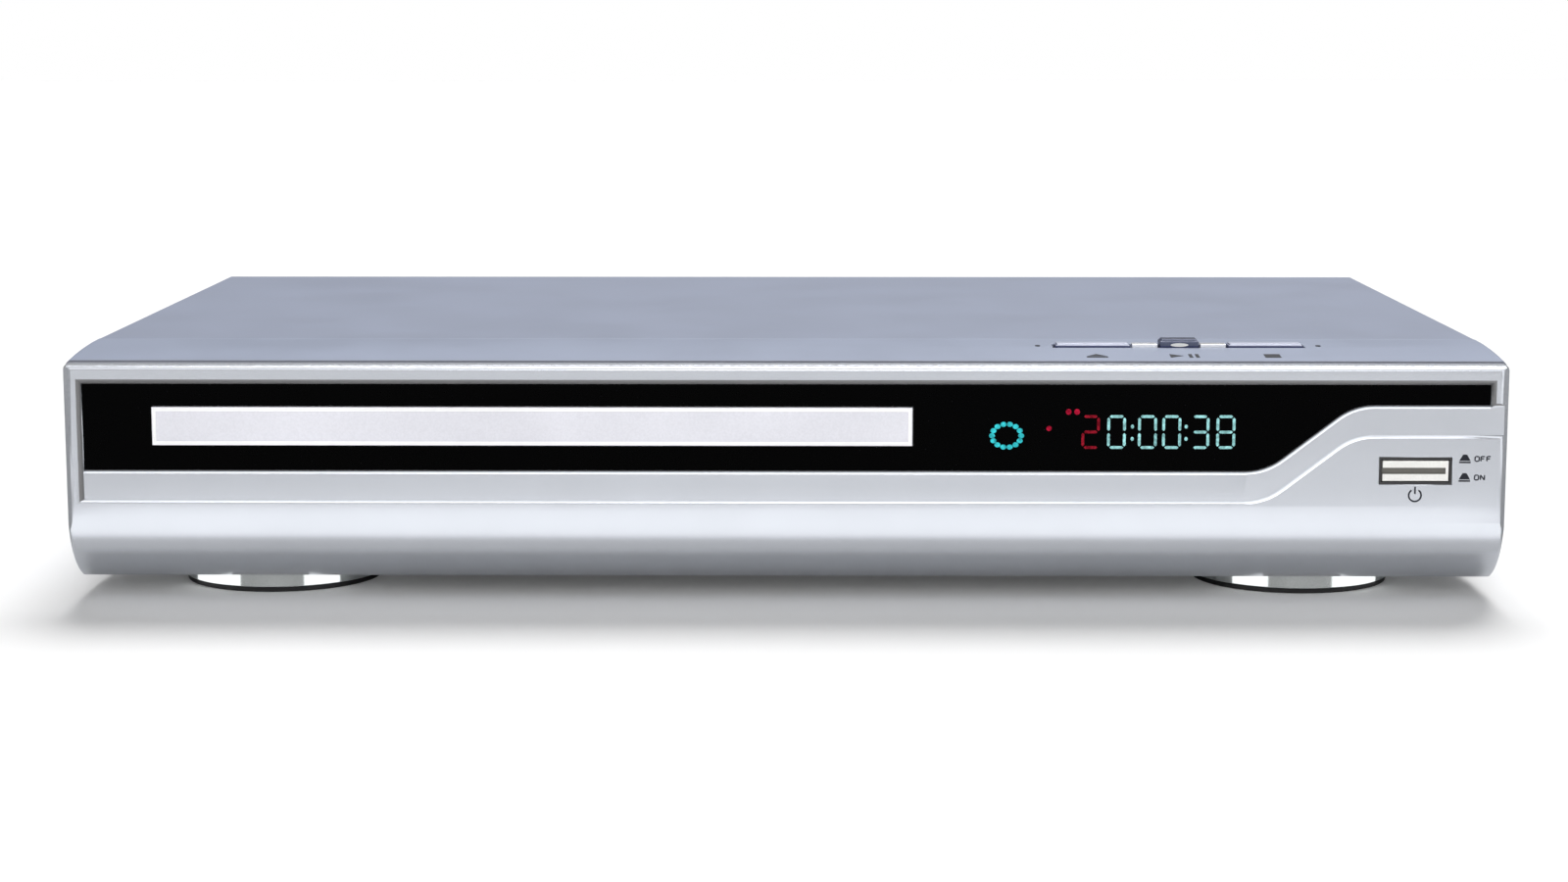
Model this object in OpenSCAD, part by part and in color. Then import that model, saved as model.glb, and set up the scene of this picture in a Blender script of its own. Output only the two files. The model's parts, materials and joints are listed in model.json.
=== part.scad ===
// Disc player with a sliding tray, in millimetres.
// +X is to the right seen from the front, -Y is towards the viewer and +Z is up.
// The origin is on the ground, under the middle of the player.

/* [Body] */
// Width of the player
body_w = 430; // [424:1:450]
// Depth from the front face to the back of the cover
body_d = 255; // [250:1:290]
// Height from the lower edge of the front to the top of the cover
body_h = 69.5; // [69:0.5:80]
// Height of the lower edge of the front above the ground
ground_gap = 6.5; // [6:0.5:8]
// Rise of the steel floor above the lower edge of the front
floor_rise = 2.5; // [2:0.1:3]
// Thickness of the sheet steel
sheet = 0.8; // [0.6:0.1:1]
// Outer radius of the bends in the cover
bend_r = 2; // [1.5:0.25:3]
// Gap between the cover and the plastic front
seam = 0.3; // [0.2:0.1:0.5]
// Height of the lip that closes the back of the cover
cover_lip = 9; // [7:0.5:10]

/* [Front] */
// Depth of the plastic front, back to its seam with the cover
front_d = 44; // [42:1:46]
// Fall of the arched top from the seam to the front face
top_drop = 3; // [2:0.25:4]
// Wall of the plastic front
wall = 2.5; // [2:0.1:3]
// Radius of the bullnose under the front face
chin_r = 26.75; // [26:0.25:28]
// Height of the bullnose's centre above the lower edge
chin_rise = 24.5; // [23.5:0.25:25.5]
// Round of the top front edge
edge_r = 1.6; // [1:0.2:2]
// Depth of the underside of the front, back from its face
lip_d = 20; // [19:0.5:20.5]

/* [Window] */
// Width of the plain band at each end of the window
side_band = 5.4; // [4:0.2:8]
// Height of the plain band above the window
top_band = 5.7; // [5:0.1:7]
// Height of the window over the tray
window_h = 26.1; // [25:0.1:28]
// Rise of the window's lower edge to its shallow end
window_rise = 19.9; // [18:0.1:21]
// Where the rising curve starts, from the right side of the player
curve_x = 78; // [70:1:83]
// Radius of the two bends in the rising curve
curve_r = 18; // [12:1:20]
// Steepest angle of the rising curve
curve_a = 37.5; // [34:0.5:42]
// Depth of the window behind the front face
window_in = 1.5; // [1:0.1:2]
// Thickness of the window
window_t = 2.5; // [2:0.1:3]
// Height of the shallow band that follows the window's lower edge
shelf_h = 8.9; // [7:0.1:9]
// Depth of that band behind the front face
shelf_in = 0.8; // [0.5:0.1:1]

/* [Tray] */
// Middle of the tray, from the left side of the player
tray_x = 139.6; // [138:0.2:141]
// Width of the door on the tray
door_w = 226.8; // [200:0.2:228]
// Height of the door
door_h = 11.6; // [11.5:0.1:12]
// Distance from the top of the window down to the door
door_drop = 7; // [6.5:0.1:7.5]
// Gap around the door
door_gap = 0.4; // [0.3:0.1:0.6]
// Thickness of the door
door_t = 2.9; // [2:0.1:2.9]
// Width of the tray
tray_w = 128; // [127:0.5:130]
// Length of the tray behind its door
tray_l = 168.3; // [167:0.1:169]
// Height of the tray
tray_h = 10; // [9.8:0.1:10]
// Diameter of the recess for a full-size disc
disc_recess_d = 121; // [121:0.2:121.8]
// Diameter of the recess for a small disc
small_recess_d = 81; // [80.6:0.2:82]
// Depth of the full-size recess
recess_depth = 3; // [2.5:0.1:3.2]
// Extra depth of the small recess
small_depth = 1; // [0.6:0.1:1.2]
// Thickness of the tray's plate
plate_t = 3; // [2.6:0.1:3]
// Width of the slot that lets the spindle and lens reach the disc
slot_w = 40; // [36:0.5:42]
// How far the tray comes out
tray_travel = 140; // [130:1:140]

/* [Loader] */
// Distance of the spindle behind the front face
spindle_in = 77; // [76.5:0.1:77.5]
// Wall of the loader's frame
frame_wall = 3.5; // [3:0.1:4]
// Clearance on each side of the tray
tray_side = 0.5; // [0.4:0.1:0.7]
// Height of the loader's frame below the tray
frame_drop = 29.5; // [29:0.1:30]
// Module of the loading gears
gear_m = 1; // [0.95:0.01:1]
// Teeth of the pinion that drives the rack
pinion_n = 20; // [18:1:20]
// Teeth of the large gear under that pinion
wheel_n = 28; // [26:1:28]
// Teeth of the pinion on the belt pulley
idler_n = 14; // [13:1:15]
// Play between meshing teeth
backlash = 0.3; // [0.25:0.05:0.4]
// Radius of the posts that carry the gears
post_r = 2; // [1.8:0.1:2.2]
// Radial clearance of everything that turns or slides on a shaft
running = 0.05; // [0.04:0.01:0.08]
// Radius of the groove in the belt pulley
pulley_r = 13.7; // [13:0.1:14]
// Radius of the groove in the motor's pulley
motor_pulley_r = 2.5; // [2:0.1:2.8]
// Distance between the two pulleys
belt_span = 38.9; // [37:0.1:41]
// Thickness of the square belt
belt_t = 1.2; // [1:0.1:1.3]
// Diameter of the loading motor
motor_d = 24.4; // [23:0.2:25]
// Height of the loading motor
motor_h = 12.3; // [11:0.1:12.5]
// Travel of the cam that lowers the pickup's base
cam_travel = 12; // [11:0.5:13]
// Angle by which the pickup's base is lowered
drop_angle = 5; // [4.5:0.1:5]

/* [Pickup] */
// Radius of the turntable
table_r = 15; // [14:0.1:15.5]
// Diameter of the cone that centres the disc
hub_d = 14.8; // [14.6:0.1:15]
// Radius of the spindle motor
spindle_motor_r = 13; // [12:0.1:13.5]
// Radius of the spindle
spindle_r = 1.5; // [1.2:0.1:1.8]
// Distance of each guide rod from the spindle's line
rod_x = 17; // [16.8:0.1:17.5]
// Radius of the guide rods
rod_r = 1.5; // [1.3:0.1:1.6]
// Distance of the feed screw from the spindle's line
screw_x = 27.5; // [27:0.1:28]
// Outer radius of the feed screw
screw_r = 1.75; // [1.6:0.05:1.8]
// Pitch of the grooves in the feed screw
screw_pitch = 3; // [2:0.5:4]
// Radius at which the lens stands when the sled is home
lens_home = 24; // [23.5:0.1:24.5]
// Travel of the sled
sled_travel = 34; // [30:0.5:34]
// Radius of the objective lens
lens_r = 3; // [2.5:0.1:3.4]

/* [Buttons] */
// Distance of the row of buttons behind the front face
key_in = 29; // [27:0.5:31]
// Depth of the buttons on the deck
key_d = 6.6; // [5:0.1:7.5]
// Thickness of the button deck
deck_t = 2.2; // [1.8:0.1:2.6]
// Distance of the deck's front seam behind the front face
deck_in = 5.5; // [5:0.1:6]
// Left end of the row of buttons, from the right side of the player
key_x0 = 133.1; // [131:0.1:136]
// Width of the open and close button
open_w = 23.5; // [20:0.1:24]
// Width of the play button
play_w = 12.4; // [11:0.1:13]
// Width of the stop button
stop_w = 23.4; // [20:0.1:24]
// Width of each bright bar between the buttons
rail_w = 8.4; // [7:0.1:9]
// Height of the long buttons above the deck
key_up = 0.9; // [0.6:0.1:1.2]
// Height of the play button above the deck
play_up = 2.3; // [1.8:0.1:2.6]
// Travel of the buttons on the deck
key_travel = 0.8; // [0.5:0.1:0.8]
// Gap around each button
key_gap = 0.3; // [0.25:0.05:0.35]
// Middle of the power button, from the right side of the player
power_x = 27.35; // [25:0.05:30]
// Height of the power button above the lower edge of the front
power_z = 35.05; // [34.5:0.05:36]
// Width of the rim around the power button
power_w = 21.6; // [20:0.1:23]
// Height of the rim around the power button
power_h = 8.1; // [7.6:0.1:9]
// Width of the rim itself
power_rim = 0.7; // [0.6:0.1:0.9]
// Travel of the power button
power_travel = 2.5; // [2:0.1:3]

/* [Electronics] */
// Thickness of the circuit boards
board_t = 1.6; // [1.2:0.1:2]
// Height of the boards above the floor
board_up = 6.2; // [5:0.1:7]
// Gap between the loader's lugs and the main board
main_gap = 7.4; // [6:0.2:9]
// Gap between the main board and the power board
board_gap = 7; // [5:0.5:9]
// Depth of the main board
main_d = 98; // [90:1:105]
// Width of the power board
supply_w = 80; // [76:1:82]
// Gap between the power board and the right side of the player
supply_side = 10; // [8:0.5:12]
// Depth of the power board
supply_d = 108; // [100:1:115]
// Left end of the display, from the right side of the player
display_x = 158.5; // [157:0.1:159]
// Width of the display
display_w = 83; // [80:0.5:83]
// Height of the display
display_h = 18; // [16:0.5:18]

/* [Sockets] */
// How far the signal sockets stand out behind the cover
jack_reach = 9; // [8:0.5:10]
// Outer diameter of each signal socket
jack_d = 8.3; // [8.2:0.1:8.4]
// Distance between neighbouring signal sockets
jack_pitch = 14; // [13.5:0.1:15]
// Middle of the first column of signal sockets, from the left end of the main board
jack_x = 16; // [14:0.5:18]
// Height of the lower row of signal sockets above the floor
jack_z = 15.2; // [14:0.1:17]
// Middle of the mains inlet, from the right side of the player
inlet_x = 33; // [29:0.5:37]
// Height of the mains inlet above the floor
inlet_z = 19; // [17:0.5:21]
// Distance between the two pins of the mains inlet
inlet_pitch = 8.6; // [8.4:0.1:8.8]

/* [Feet] */
// Radius of the feet
foot_r = 31; // [28:0.5:31]
// Distance of the feet from the sides of the player
foot_side = 56.1; // [50:0.1:60]
// Distance of the front feet behind the front face
foot_front = 52; // [52:0.5:56]
// Distance of the rear feet from the back of the cover
foot_rear = 53; // [48:0.5:60]
// Thickness of the rubber ring under each foot
pad_t = 1.6; // [1.2:0.1:2]

/* [Screws] */
// Radius of every screw's shank
screw_shank = 1.5; // [1.3:0.1:1.6]
// Radius of every screw's head
head_r = 3; // [2.7:0.1:3.2]
// Height of a raised screw head
head_h = 1.8; // [1.4:0.1:2.2]

/* [Hidden] */
$fn = 64;
eps = 0.05;

// Main planes of the body
side_x = body_w / 2;
front_y = -(body_d + jack_reach) / 2;
rear_y = front_y + body_d;
top_z = ground_gap + body_h;
floor_z = ground_gap + floor_rise;
floor_top = floor_z + sheet;
seam_y = front_y + front_d;
cover_in = side_x - sheet;
panel_y = rear_y - 2 * sheet;
fit = 0.1;

// Arched top of the front
arch_r = (front_d * front_d + top_drop * top_drop) / (2 * top_drop);
function arch_z(y) = top_z - arch_r + sqrt(arch_r * arch_r - (y - seam_y) * (y - seam_y));
front_top = arch_z(front_y);
chin_z = ground_gap + chin_rise;
lip_y = front_y + lip_d;
deck_y = front_y + deck_in;

// Window
window_x = side_x - side_band;
curve_start = side_x - curve_x;
window_top = front_top - top_band;
window_low = window_top - window_h;
window_y = front_y + window_in;
pocket_y = window_y + window_t;
inner_y = pocket_y + wall;

// Door and tray, from the middle of the tray's underside at the front face
loader_at = tray_x - side_x;
door_top = window_top - door_drop;
tray_z = door_top - door_h / 2 - tray_h / 2;
tray_rise = (door_h - tray_h) / 2;
door_back = window_in + window_t - 0.3;
tray_back = door_back + tray_l;

// Two clips reach from the tray through the front's mouth to the door
tray_front = door_back + 7;
clip_x = tray_w / 2 - 14;
clip_w = 10;
clip_z = [1.5, tray_h - 2.5];

plate_z = tray_h - recess_depth - plate_t;
rail_w_in = 4;

// Loader, in its own coordinates
frame_x = tray_w / 2 + tray_side;
frame_front = 12;
frame_back = tray_back + 8;
frame_top = tray_h + 2.5;
ledge_gap = 0.3;
deck_z = -14.5;
deck_plate = 2;
gear_deck_back = 46;
wheel_z = [-10, -6.5];
pinion_z = [0.3, plate_z - 0.4];
pulley_z = [-14, -11];
groove_h = 2;
flange_up = 1.3;
gear_y = 34;
pinion_r = gear_m * pinion_n / 2;
wheel_r = gear_m * wheel_n / 2;
idler_r = gear_m * idler_n / 2;
rack_x = -(tray_w / 2 - rail_w_in) + 2.4;
gear_x = rack_x + pinion_r;
idler_a = -10;
idler_x = gear_x + (wheel_r + idler_r) * cos(idler_a);
idler_y = gear_y + (wheel_r + idler_r) * sin(idler_a);
belt_gap = 0.3;
belt_z = (pulley_z[0] + pulley_z[1]) / 2;
loading_x = idler_x + belt_span;

// Pickup's base, in the loader's coordinates
base_z = [-11.5, -8.5];
base_x = 34;
base_front = 52;
hinge_y = tray_back - 2;
hinge_z = -13.5;
hinge_r = 2;
base_back = hinge_y - 4;
base_in = [90, 156];
rod_z = -5;
screw_z = -2.8;
disc_z = 8.5;
sled_y = [spindle_in + lens_home - 8, spindle_in + lens_home + 16];
sled_x = 21;
sled_z = [-7, 3];
pin_r = 1.5;
cam_y = [47.3, 49.3];
pin_drop = (hinge_y - base_front + 3) * sin(drop_angle);
screw_y = [84.5, 140.7];
screw_ends = [88.5, 137];

// Clamp over the disc
bridge_y = [spindle_in - 20, spindle_in + 20];
bridge_t = 1.5;
bridge_hole = 9;
puck_z = 9.9;
puck_t = 2;

// Deck buttons, each as [left, right]
open_x = [side_x - key_x0, side_x - key_x0 + open_w];
rail_1_x = [open_x[1], open_x[1] + rail_w];
play_x = [rail_1_x[1], rail_1_x[1] + play_w];
rail_2_x = [play_x[1], play_x[1] + rail_w];
stop_x = [rail_2_x[1], rail_2_x[1] + stop_w];
key_y = front_y + key_in;
key_top = arch_z(key_y);
switch_top = key_top - 7.3;
key_board_z = switch_top - 4.4;
key_board_x = [open_x[0] - 8, stop_x[1] + 7.5];
key_board_d = 22;
key_board_y = [key_y - key_board_d / 2, key_y + key_board_d / 2];

// Front board, behind the display
front_board_y = inner_y + 7.1;
display_left = side_x - display_x;
display_right = display_left + display_w;
display_z = window_low + 2.8;
front_board_x = [display_left - 14.5, side_x - 9];
receiver_x = [display_left - 10.5, display_left - 3.5];
receiver_z = [window_low + 9, window_low + 16];
power_at = side_x - power_x;
power_pos = ground_gap + power_z;

// Boards on the floor
board_z = floor_top + board_up;
board_top = board_z + board_t;
board_back = panel_y - 3.4;
lug_x = frame_x + frame_wall + 4;
lug_r = 4;
supply_x = [side_x - supply_side - supply_w, side_x - supply_side];
main_x = [loader_at + lug_x + lug_r + main_gap, supply_x[0] - board_gap];
main_y = [board_back - main_d, board_back];
supply_y = [board_back - supply_d, board_back];

// Sockets in the rear panel
jack_tip = rear_y + jack_reach;
jack_rows = [floor_top + jack_z, floor_top + jack_z + jack_pitch];
jack_columns = [for (i = [0:2]) main_x[0] + jack_x + i * jack_pitch];
digital_x = jack_columns[0] + 3.4 * jack_pitch;
video_x = digital_x + 1.3 * jack_pitch;
jack_wall = 0.85;
jack_core = 2.4;
jack_hole = 1.6;
jack_deep = 8;
inlet_at = side_x - inlet_x;
inlet_pos = floor_top + inlet_z;

// Feet
foot_x = side_x - foot_side;
foot_y = [front_y + foot_front, rear_y - foot_rear];
foot_places = [[-foot_x, foot_y[0]], [foot_x, foot_y[0]], [-foot_x, foot_y[1]], [foot_x, foot_y[1]]];

// A block given by its limits along each axis
module box(x, y, z) {
    translate([x[0], y[0], z[0]])
        cube([x[1] - x[0], y[1] - y[0], z[1] - z[0]]);
}

// Round bars along each axis, given by the place of their axis and by their two ends
module bar_x(y, z, ends, r) {
    translate([ends[0], y, z])
        rotate([0, 90, 0])
            cylinder(r = r, h = ends[1] - ends[0]);
}
module bar_y(x, z, ends, r) {
    translate([x, ends[0], z])
        rotate([-90, 0, 0])
            cylinder(r = r, h = ends[1] - ends[0]);
}
module bar_z(x, y, ends, r) {
    translate([x, y, ends[0]])
        cylinder(r = r, h = ends[1] - ends[0]);
}

// Extrude a (y, z) outline along X, or an (x, z) outline along Y
module along_x(ends) {
    translate([ends[0], 0, 0])
        rotate([90, 0, 90])
            linear_extrude(ends[1] - ends[0])
                children();
}
module along_y(ends) {
    translate([0, ends[1], 0])
        rotate([90, 0, 0])
            linear_extrude(ends[1] - ends[0])
                children();
}

// The children, and their mirror image on the other side
module both_sides() {
    children();
    mirror([1, 0, 0])
        children();
}

// Move into the loader's coordinates
module at_loader() {
    translate([loader_at, front_y, tray_z])
        children();
}

// Points of an arc, and of the rising curve under the window
function arc(x, z, r, from, to) =
    [for (i = [0:10]) let (a = from + (to - from) * i / 10) [x + r * cos(a), z + r * sin(a)]];
curve_run = (window_rise - 2 * curve_r * (1 - cos(curve_a))) / tan(curve_a);
curve_end = curve_start + 2 * curve_r * sin(curve_a) + curve_run;
function rising_curve(z) = concat(
    arc(curve_start, z + curve_r, curve_r, 270, 270 + curve_a),
    arc(curve_end, z + window_rise - curve_r, curve_r, 90 + curve_a, 90)
);
function reversed(points) = [for (i = [len(points) - 1:-1:0]) points[i]];

// ---------------------------------------------------------------- casing

module cover_outline(inset) {
    r = bend_r - inset;
    half = side_x - inset;
    translate([-half, floor_z])
        square([2 * half, top_z - inset - r - floor_z]);
    translate([-half + r, floor_z])
        square([2 * (half - r), top_z - inset - floor_z]);
    for (s = [-1, 1])
        translate([s * (half - r), top_z - inset - r])
            circle(r);
}

cover_screw_y = [seam_y + 45, rear_y - 35];
cover_screw_z = floor_z + 8;
lip_screw_x = [-side_x + 64.5, 0, side_x - 64.5];
lip_screw_z = top_z - cover_lip / 2 - sheet / 2;

// Cone of a flush screw head, or of its seat
module countersink(gap, depth) {
    slope = (head_r - fit - screw_shank) / sheet;
    cylinder(r1 = screw_shank + gap, r2 = screw_shank + gap + slope * depth, h = depth);
}

module top_cover() {
    color("lightsteelblue")
        difference() {
            union() {
                along_y([seam_y + seam, rear_y])
                    difference() {
                        cover_outline(0);
                        cover_outline(sheet);
                    }
                box([-cover_in - eps, cover_in + eps], [rear_y - sheet, rear_y], [top_z - cover_lip, top_z - bend_r]);
            }
            both_sides()
                for (y = cover_screw_y) {
                    bar_x(y, cover_screw_z, [cover_in - 1, side_x + 1], screw_shank + fit);
                    translate([side_x - sheet, y, cover_screw_z])
                        rotate([0, 90, 0])
                            countersink(fit, sheet + eps);
                }
            for (x = lip_screw_x)
                bar_y(x, lip_screw_z, [rear_y - 2, rear_y + 1], screw_shank + fit);
        }
}

flange_h = 16;
floor_half = cover_in - fit;
tongue_half = side_x - wall - 0.2;
vent_pitch = 7;
vent_w = 3;
vent_l = 46;
vent_y = [supply_y[0] - 8 - vent_l, supply_y[0] - 8];
vent_run = 84;

module floor_vents(x) {
    for (i = [0:floor(vent_run / vent_pitch) - 1])
        box([x + i * vent_pitch, x + i * vent_pitch + vent_w], vent_y, [floor_z - 1, floor_top + 1]);
}

module board_bosses(x, y) {
    for (px = [x[0] + 5, x[1] - 5], py = [y[0] + 5, y[1] - 16])
        bar_z(px, py, [floor_top - eps, board_z], 3.2);
}

module board_holes(x, y, z) {
    for (px = [x[0] + 5, x[1] - 5], py = [y[0] + 5, y[1] - 16])
        bar_z(px, py, z, screw_shank);
}

lug_y = [24, frame_back - 12];
lug_t = 3;
frame_low = tray_z - frame_drop;

module bottom_chassis() {
    color("silver")
        difference() {
            union() {
                box([-floor_half, floor_half], [seam_y + seam, rear_y - 2 * sheet - fit], [floor_z, floor_top]);
                box([-tongue_half, tongue_half], [lip_y, seam_y + seam + eps], [floor_z, floor_top]);
                both_sides()
                    box([floor_half - sheet, floor_half], [seam_y + seam, panel_y - fit], [floor_z, floor_z + flange_h]);
                board_bosses(main_x, main_y);
                board_bosses(supply_x, supply_y);
                for (x = [-lug_x, lug_x], y = lug_y)
                    bar_z(loader_at + x, front_y + y, [floor_top - eps, frame_low], lug_r);
            }
            board_holes(main_x, main_y, [floor_z - 1, board_z + 1]);
            board_holes(supply_x, supply_y, [floor_z - 1, board_z + 1]);
            for (x = [-lug_x, lug_x], y = lug_y)
                bar_z(loader_at + x, front_y + y, [floor_z - 1, frame_low + 1], screw_shank);
            for (p = foot_places)
                bar_z(p[0], p[1], [floor_z - 1, floor_top + 1], screw_shank);
            both_sides()
                for (y = cover_screw_y)
                    bar_x(y, cover_screw_z, [floor_half - 2, floor_half + 1], screw_shank);
            floor_vents(loader_at - vent_run / 2);
            floor_vents(supply_x[0] - vent_run / 2);
            for (x = rear_screw_x)
                bar_z(x, panel_y - 6, [floor_z - 1, floor_top + 1], screw_shank + fit);
            for (x = tab_x)
                bar_z(x, tab_screw_y, [floor_z - 1, floor_top + 1], screw_shank + fit);
        }
}

rear_screw_x = [-side_x + 43, -43, side_x - 82];
rear_top = top_z - sheet - fit;
rear_vent_x = -side_x + 32;
inlet_w = 22;
inlet_h = 14;

module rear_panel() {
    color("silver")
        difference() {
            union() {
                box([-floor_half, floor_half], [panel_y, panel_y + sheet], [floor_top, rear_top]);
                box([-floor_half + 2, floor_half - 2], [panel_y - 12, panel_y + eps], [floor_top, floor_top + sheet]);
            }
            for (x = jack_columns, z = jack_rows)
                bar_y(x, z, [panel_y - 1, panel_y + 2], jack_d / 2 + 0.8);
            bar_y(digital_x, jack_rows[0], [panel_y - 1, panel_y + 2], jack_d / 2 + 0.8);
            bar_y(video_x, jack_rows[0], [panel_y - 1, panel_y + 2], video_r + 0.3);
            box([inlet_at - inlet_w / 2 - fit, inlet_at + inlet_w / 2 + fit], [panel_y - 1, panel_y + 2],
                [inlet_pos - inlet_h / 2 - fit, inlet_pos + inlet_h / 2 + fit]);
            for (i = [0:19])
                box([rear_vent_x + i * vent_pitch, rear_vent_x + i * vent_pitch + vent_w],
                    [panel_y - 1, panel_y + 2], [floor_top + 24, floor_top + 44]);
            for (x = lip_screw_x)
                bar_y(x, lip_screw_z, [panel_y - 1, panel_y + 2], screw_shank);
            for (x = rear_screw_x)
                bar_z(x, panel_y - 6, [floor_top - 1, floor_top + 2], screw_shank);
        }
}

module corner_cut(y, z, r) {
    difference() {
        translate([y - 1, z])
            square([r + 1, r + 1]);
        translate([y + r, z])
            circle(r);
    }
}

module front_outline() {
    difference() {
        intersection() {
            translate([front_y, ground_gap])
                square([front_d, top_z - ground_gap]);
            translate([seam_y, top_z - arch_r])
                circle(arch_r, $fn = 256);
        }
        difference() {
            translate([front_y - 1, ground_gap - 1])
                square([chin_r + 1, chin_rise + 1]);
            translate([front_y + chin_r, chin_z])
                circle(chin_r);
        }
        corner_cut(front_y, front_top - edge_r, edge_r);
    }
}

// Everything behind the front wall, as a side view
module front_hollow() {
    shelf_z = window_low - wall - 1;
    deck_under = front_top - deck_t - wall;
    translate([front_y + chin_r, chin_z])
        circle(chin_r - wall);
    translate([front_y + wall, chin_z])
        square([front_d, shelf_z - chin_z]);
    translate([inner_y, chin_z])
        square([front_d, deck_under - chin_z]);
    translate([deck_y + 4, chin_z])
        square([front_d, body_h]);
    translate([lip_y, ground_gap - 1])
        square([front_d, body_h]);
}

module window_outline(inset) {
    half = window_x - inset;
    offset_z = window_low + inset;
    polygon(concat(
        [[-half, offset_z]],
        rising_curve(offset_z),
        [[half, offset_z + window_rise], [half, window_top - inset], [-half, window_top - inset]]
    ));
}

module shelf_outline() {
    low = window_low - shelf_h;
    polygon(concat(
        [[-window_x, low]],
        rising_curve(low),
        [[side_x + 1, low + window_rise], [side_x + 1, window_low + window_rise]],
        reversed(rising_curve(window_low)),
        [[-window_x, window_low]]
    ));
}

tab_x = [-side_x + 30, -75, 75, side_x - 30];
tab_screw_y = lip_y + 5;
board_post_x = [display_left + 6, display_right + 10, side_x - 15];
board_post_z = [display_z - 14, display_z - 14, display_z + display_h + 1];

module front_panel() {
    color("gainsboro")
        difference() {
            union() {
                difference() {
                    along_x([-side_x, side_x])
                        front_outline();
                    along_x([-side_x + wall, side_x - wall])
                        front_hollow();
                }
                for (x = tab_x)
                    box([x - 6, x + 6], [front_y + 12, lip_y + 10], [floor_top, floor_top + wall]);
                for (i = [0:2])
                    bar_y(board_post_x[i], board_post_z[i], [front_y + wall - 0.5, front_board_y], 3);
            }
            along_x([-side_x - 1, side_x + 1])
                difference() {
                    translate([deck_y, chin_z])
                        square([front_d, body_h]);
                    translate([seam_y, top_z - arch_r])
                        circle(arch_r - deck_t, $fn = 256);
                }
            along_y([front_y - 1, pocket_y])
                window_outline(0);
            along_y([front_y - 1, front_y + shelf_in])
                shelf_outline();
            at_loader()
                box([-tray_w / 2 - 1.5, tray_w / 2 + 1.5], [0, 20], [-0.6, tray_h + 0.6]);
            box([display_left - 0.5, display_right + 0.5], [front_y, inner_y + 1],
                [display_z - 0.5, display_z + display_h + 0.5]);
            box([receiver_x[0] - 0.5, receiver_x[1] + 0.5], [front_y, inner_y + 1],
                [receiver_z[0] - 0.5, receiver_z[1] + 0.5]);
            box([power_at - power_w / 2, power_at + power_w / 2], [front_y - 1, inner_y + 1],
                [power_pos - power_h / 2, power_pos + power_h / 2]);
            for (x = tab_x)
                bar_z(x, tab_screw_y, [floor_top - 1, floor_top + wall + 1], screw_shank);
        }
}

module button_deck() {
    posts_x = [key_board_x[0] + 3, key_board_x[1] - 3];
    posts_y = [key_board_y[0] + 3, key_board_y[1] - 3];
    color("lightsteelblue")
        difference() {
            union() {
                along_x([-side_x, side_x])
                    intersection() {
                        difference() {
                            translate([seam_y, top_z - arch_r])
                                circle(arch_r, $fn = 256);
                            translate([seam_y, top_z - arch_r])
                                circle(arch_r - deck_t, $fn = 256);
                        }
                        translate([deck_y, chin_z])
                            square([seam_y - deck_y, body_h]);
                    }
                for (x = posts_x, y = posts_y)
                    bar_z(x, y, [key_board_z + board_t, arch_z(y) - deck_t / 2], 2.2);
            }
            box([open_x[0] - key_gap, stop_x[1] + key_gap], [key_y - key_d / 2 - key_gap, key_y + key_d / 2 + key_gap],
                [key_top - 6, top_z + 1]);
        }
}

module button_rails() {
    color("whitesmoke")
        for (x = [rail_1_x, rail_2_x]) {
            box([x[0] + key_gap, x[1] - key_gap], [key_y - 2.2, key_y + 2.2], [key_top - 3, key_top + 0.7]);
            box([x[0] + key_gap, x[1] - key_gap], [key_y - 6.5, key_y + 6.5], [key_top - 4.2, key_top - 3]);
            for (s = [-1, 1])
                box([x[0] + key_gap, x[1] - key_gap], [key_y + s * 5.5 - 1, key_y + s * 5.5 + 1],
                    [key_top - 3 - eps, arch_z(key_y - 6.5) - deck_t - fit]);
        }
}

module display_window() {
    color("black")
        difference() {
            along_y([window_y, pocket_y])
                window_outline(fit);
            at_loader()
                box([-door_w / 2 - door_gap, door_w / 2 + door_gap], [-5, 20],
                    [-tray_rise - door_gap, tray_h + tray_rise + door_gap]);
        }
}

// ---------------------------------------------------------------- buttons

// A key whose stem ends a little above its switch
module deck_key(x, up) {
    middle = (x[0] + x[1]) / 2;
    box([x[0] + key_gap, x[1] - key_gap], [key_y - key_d / 2, key_y + key_d / 2], [key_top - 3.4, key_top + up - 0.6]);
    box([x[0] + key_gap + 0.5, x[1] - key_gap - 0.5], [key_y - key_d / 2 + 0.5, key_y + key_d / 2 - 0.5],
        [key_top + up - 0.7, key_top + up]);
    box([middle - 1.6, middle + 1.6], [key_y - 1.6, key_y + 1.6], [switch_top + key_travel + 0.3, key_top - 3.3]);
}

module open_close_button() {
    color("aliceblue")
        deck_key(open_x, key_up);
}

module play_pause_button() {
    color("slategray")
        deck_key(play_x, play_up);
}

module stop_button() {
    color("aliceblue")
        deck_key(stop_x, key_up);
}

power_cap_w = power_w - 2 * power_rim - 2 * key_gap;
power_cap_h = power_h - 2 * power_rim - 2 * key_gap;
power_stem = 2;
switch_y = front_board_y + board_t;

module power_button() {
    color("ivory")
        difference() {
            union() {
                box([power_at - power_cap_w / 2, power_at + power_cap_w / 2], [front_y + 0.1, inner_y],
                    [power_pos - power_cap_h / 2, power_pos + power_cap_h / 2]);
                box([power_at - power_stem, power_at + power_stem], [inner_y - eps, switch_y + 4],
                    [power_pos - power_stem, power_pos + power_stem]);
            }
            box([power_at - power_cap_w / 2 - 1, power_at + power_cap_w / 2 - 0.9], [front_y - 1, front_y + 0.8],
                [power_pos - 0.9, power_pos + 0.9]);
        }
}

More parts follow.
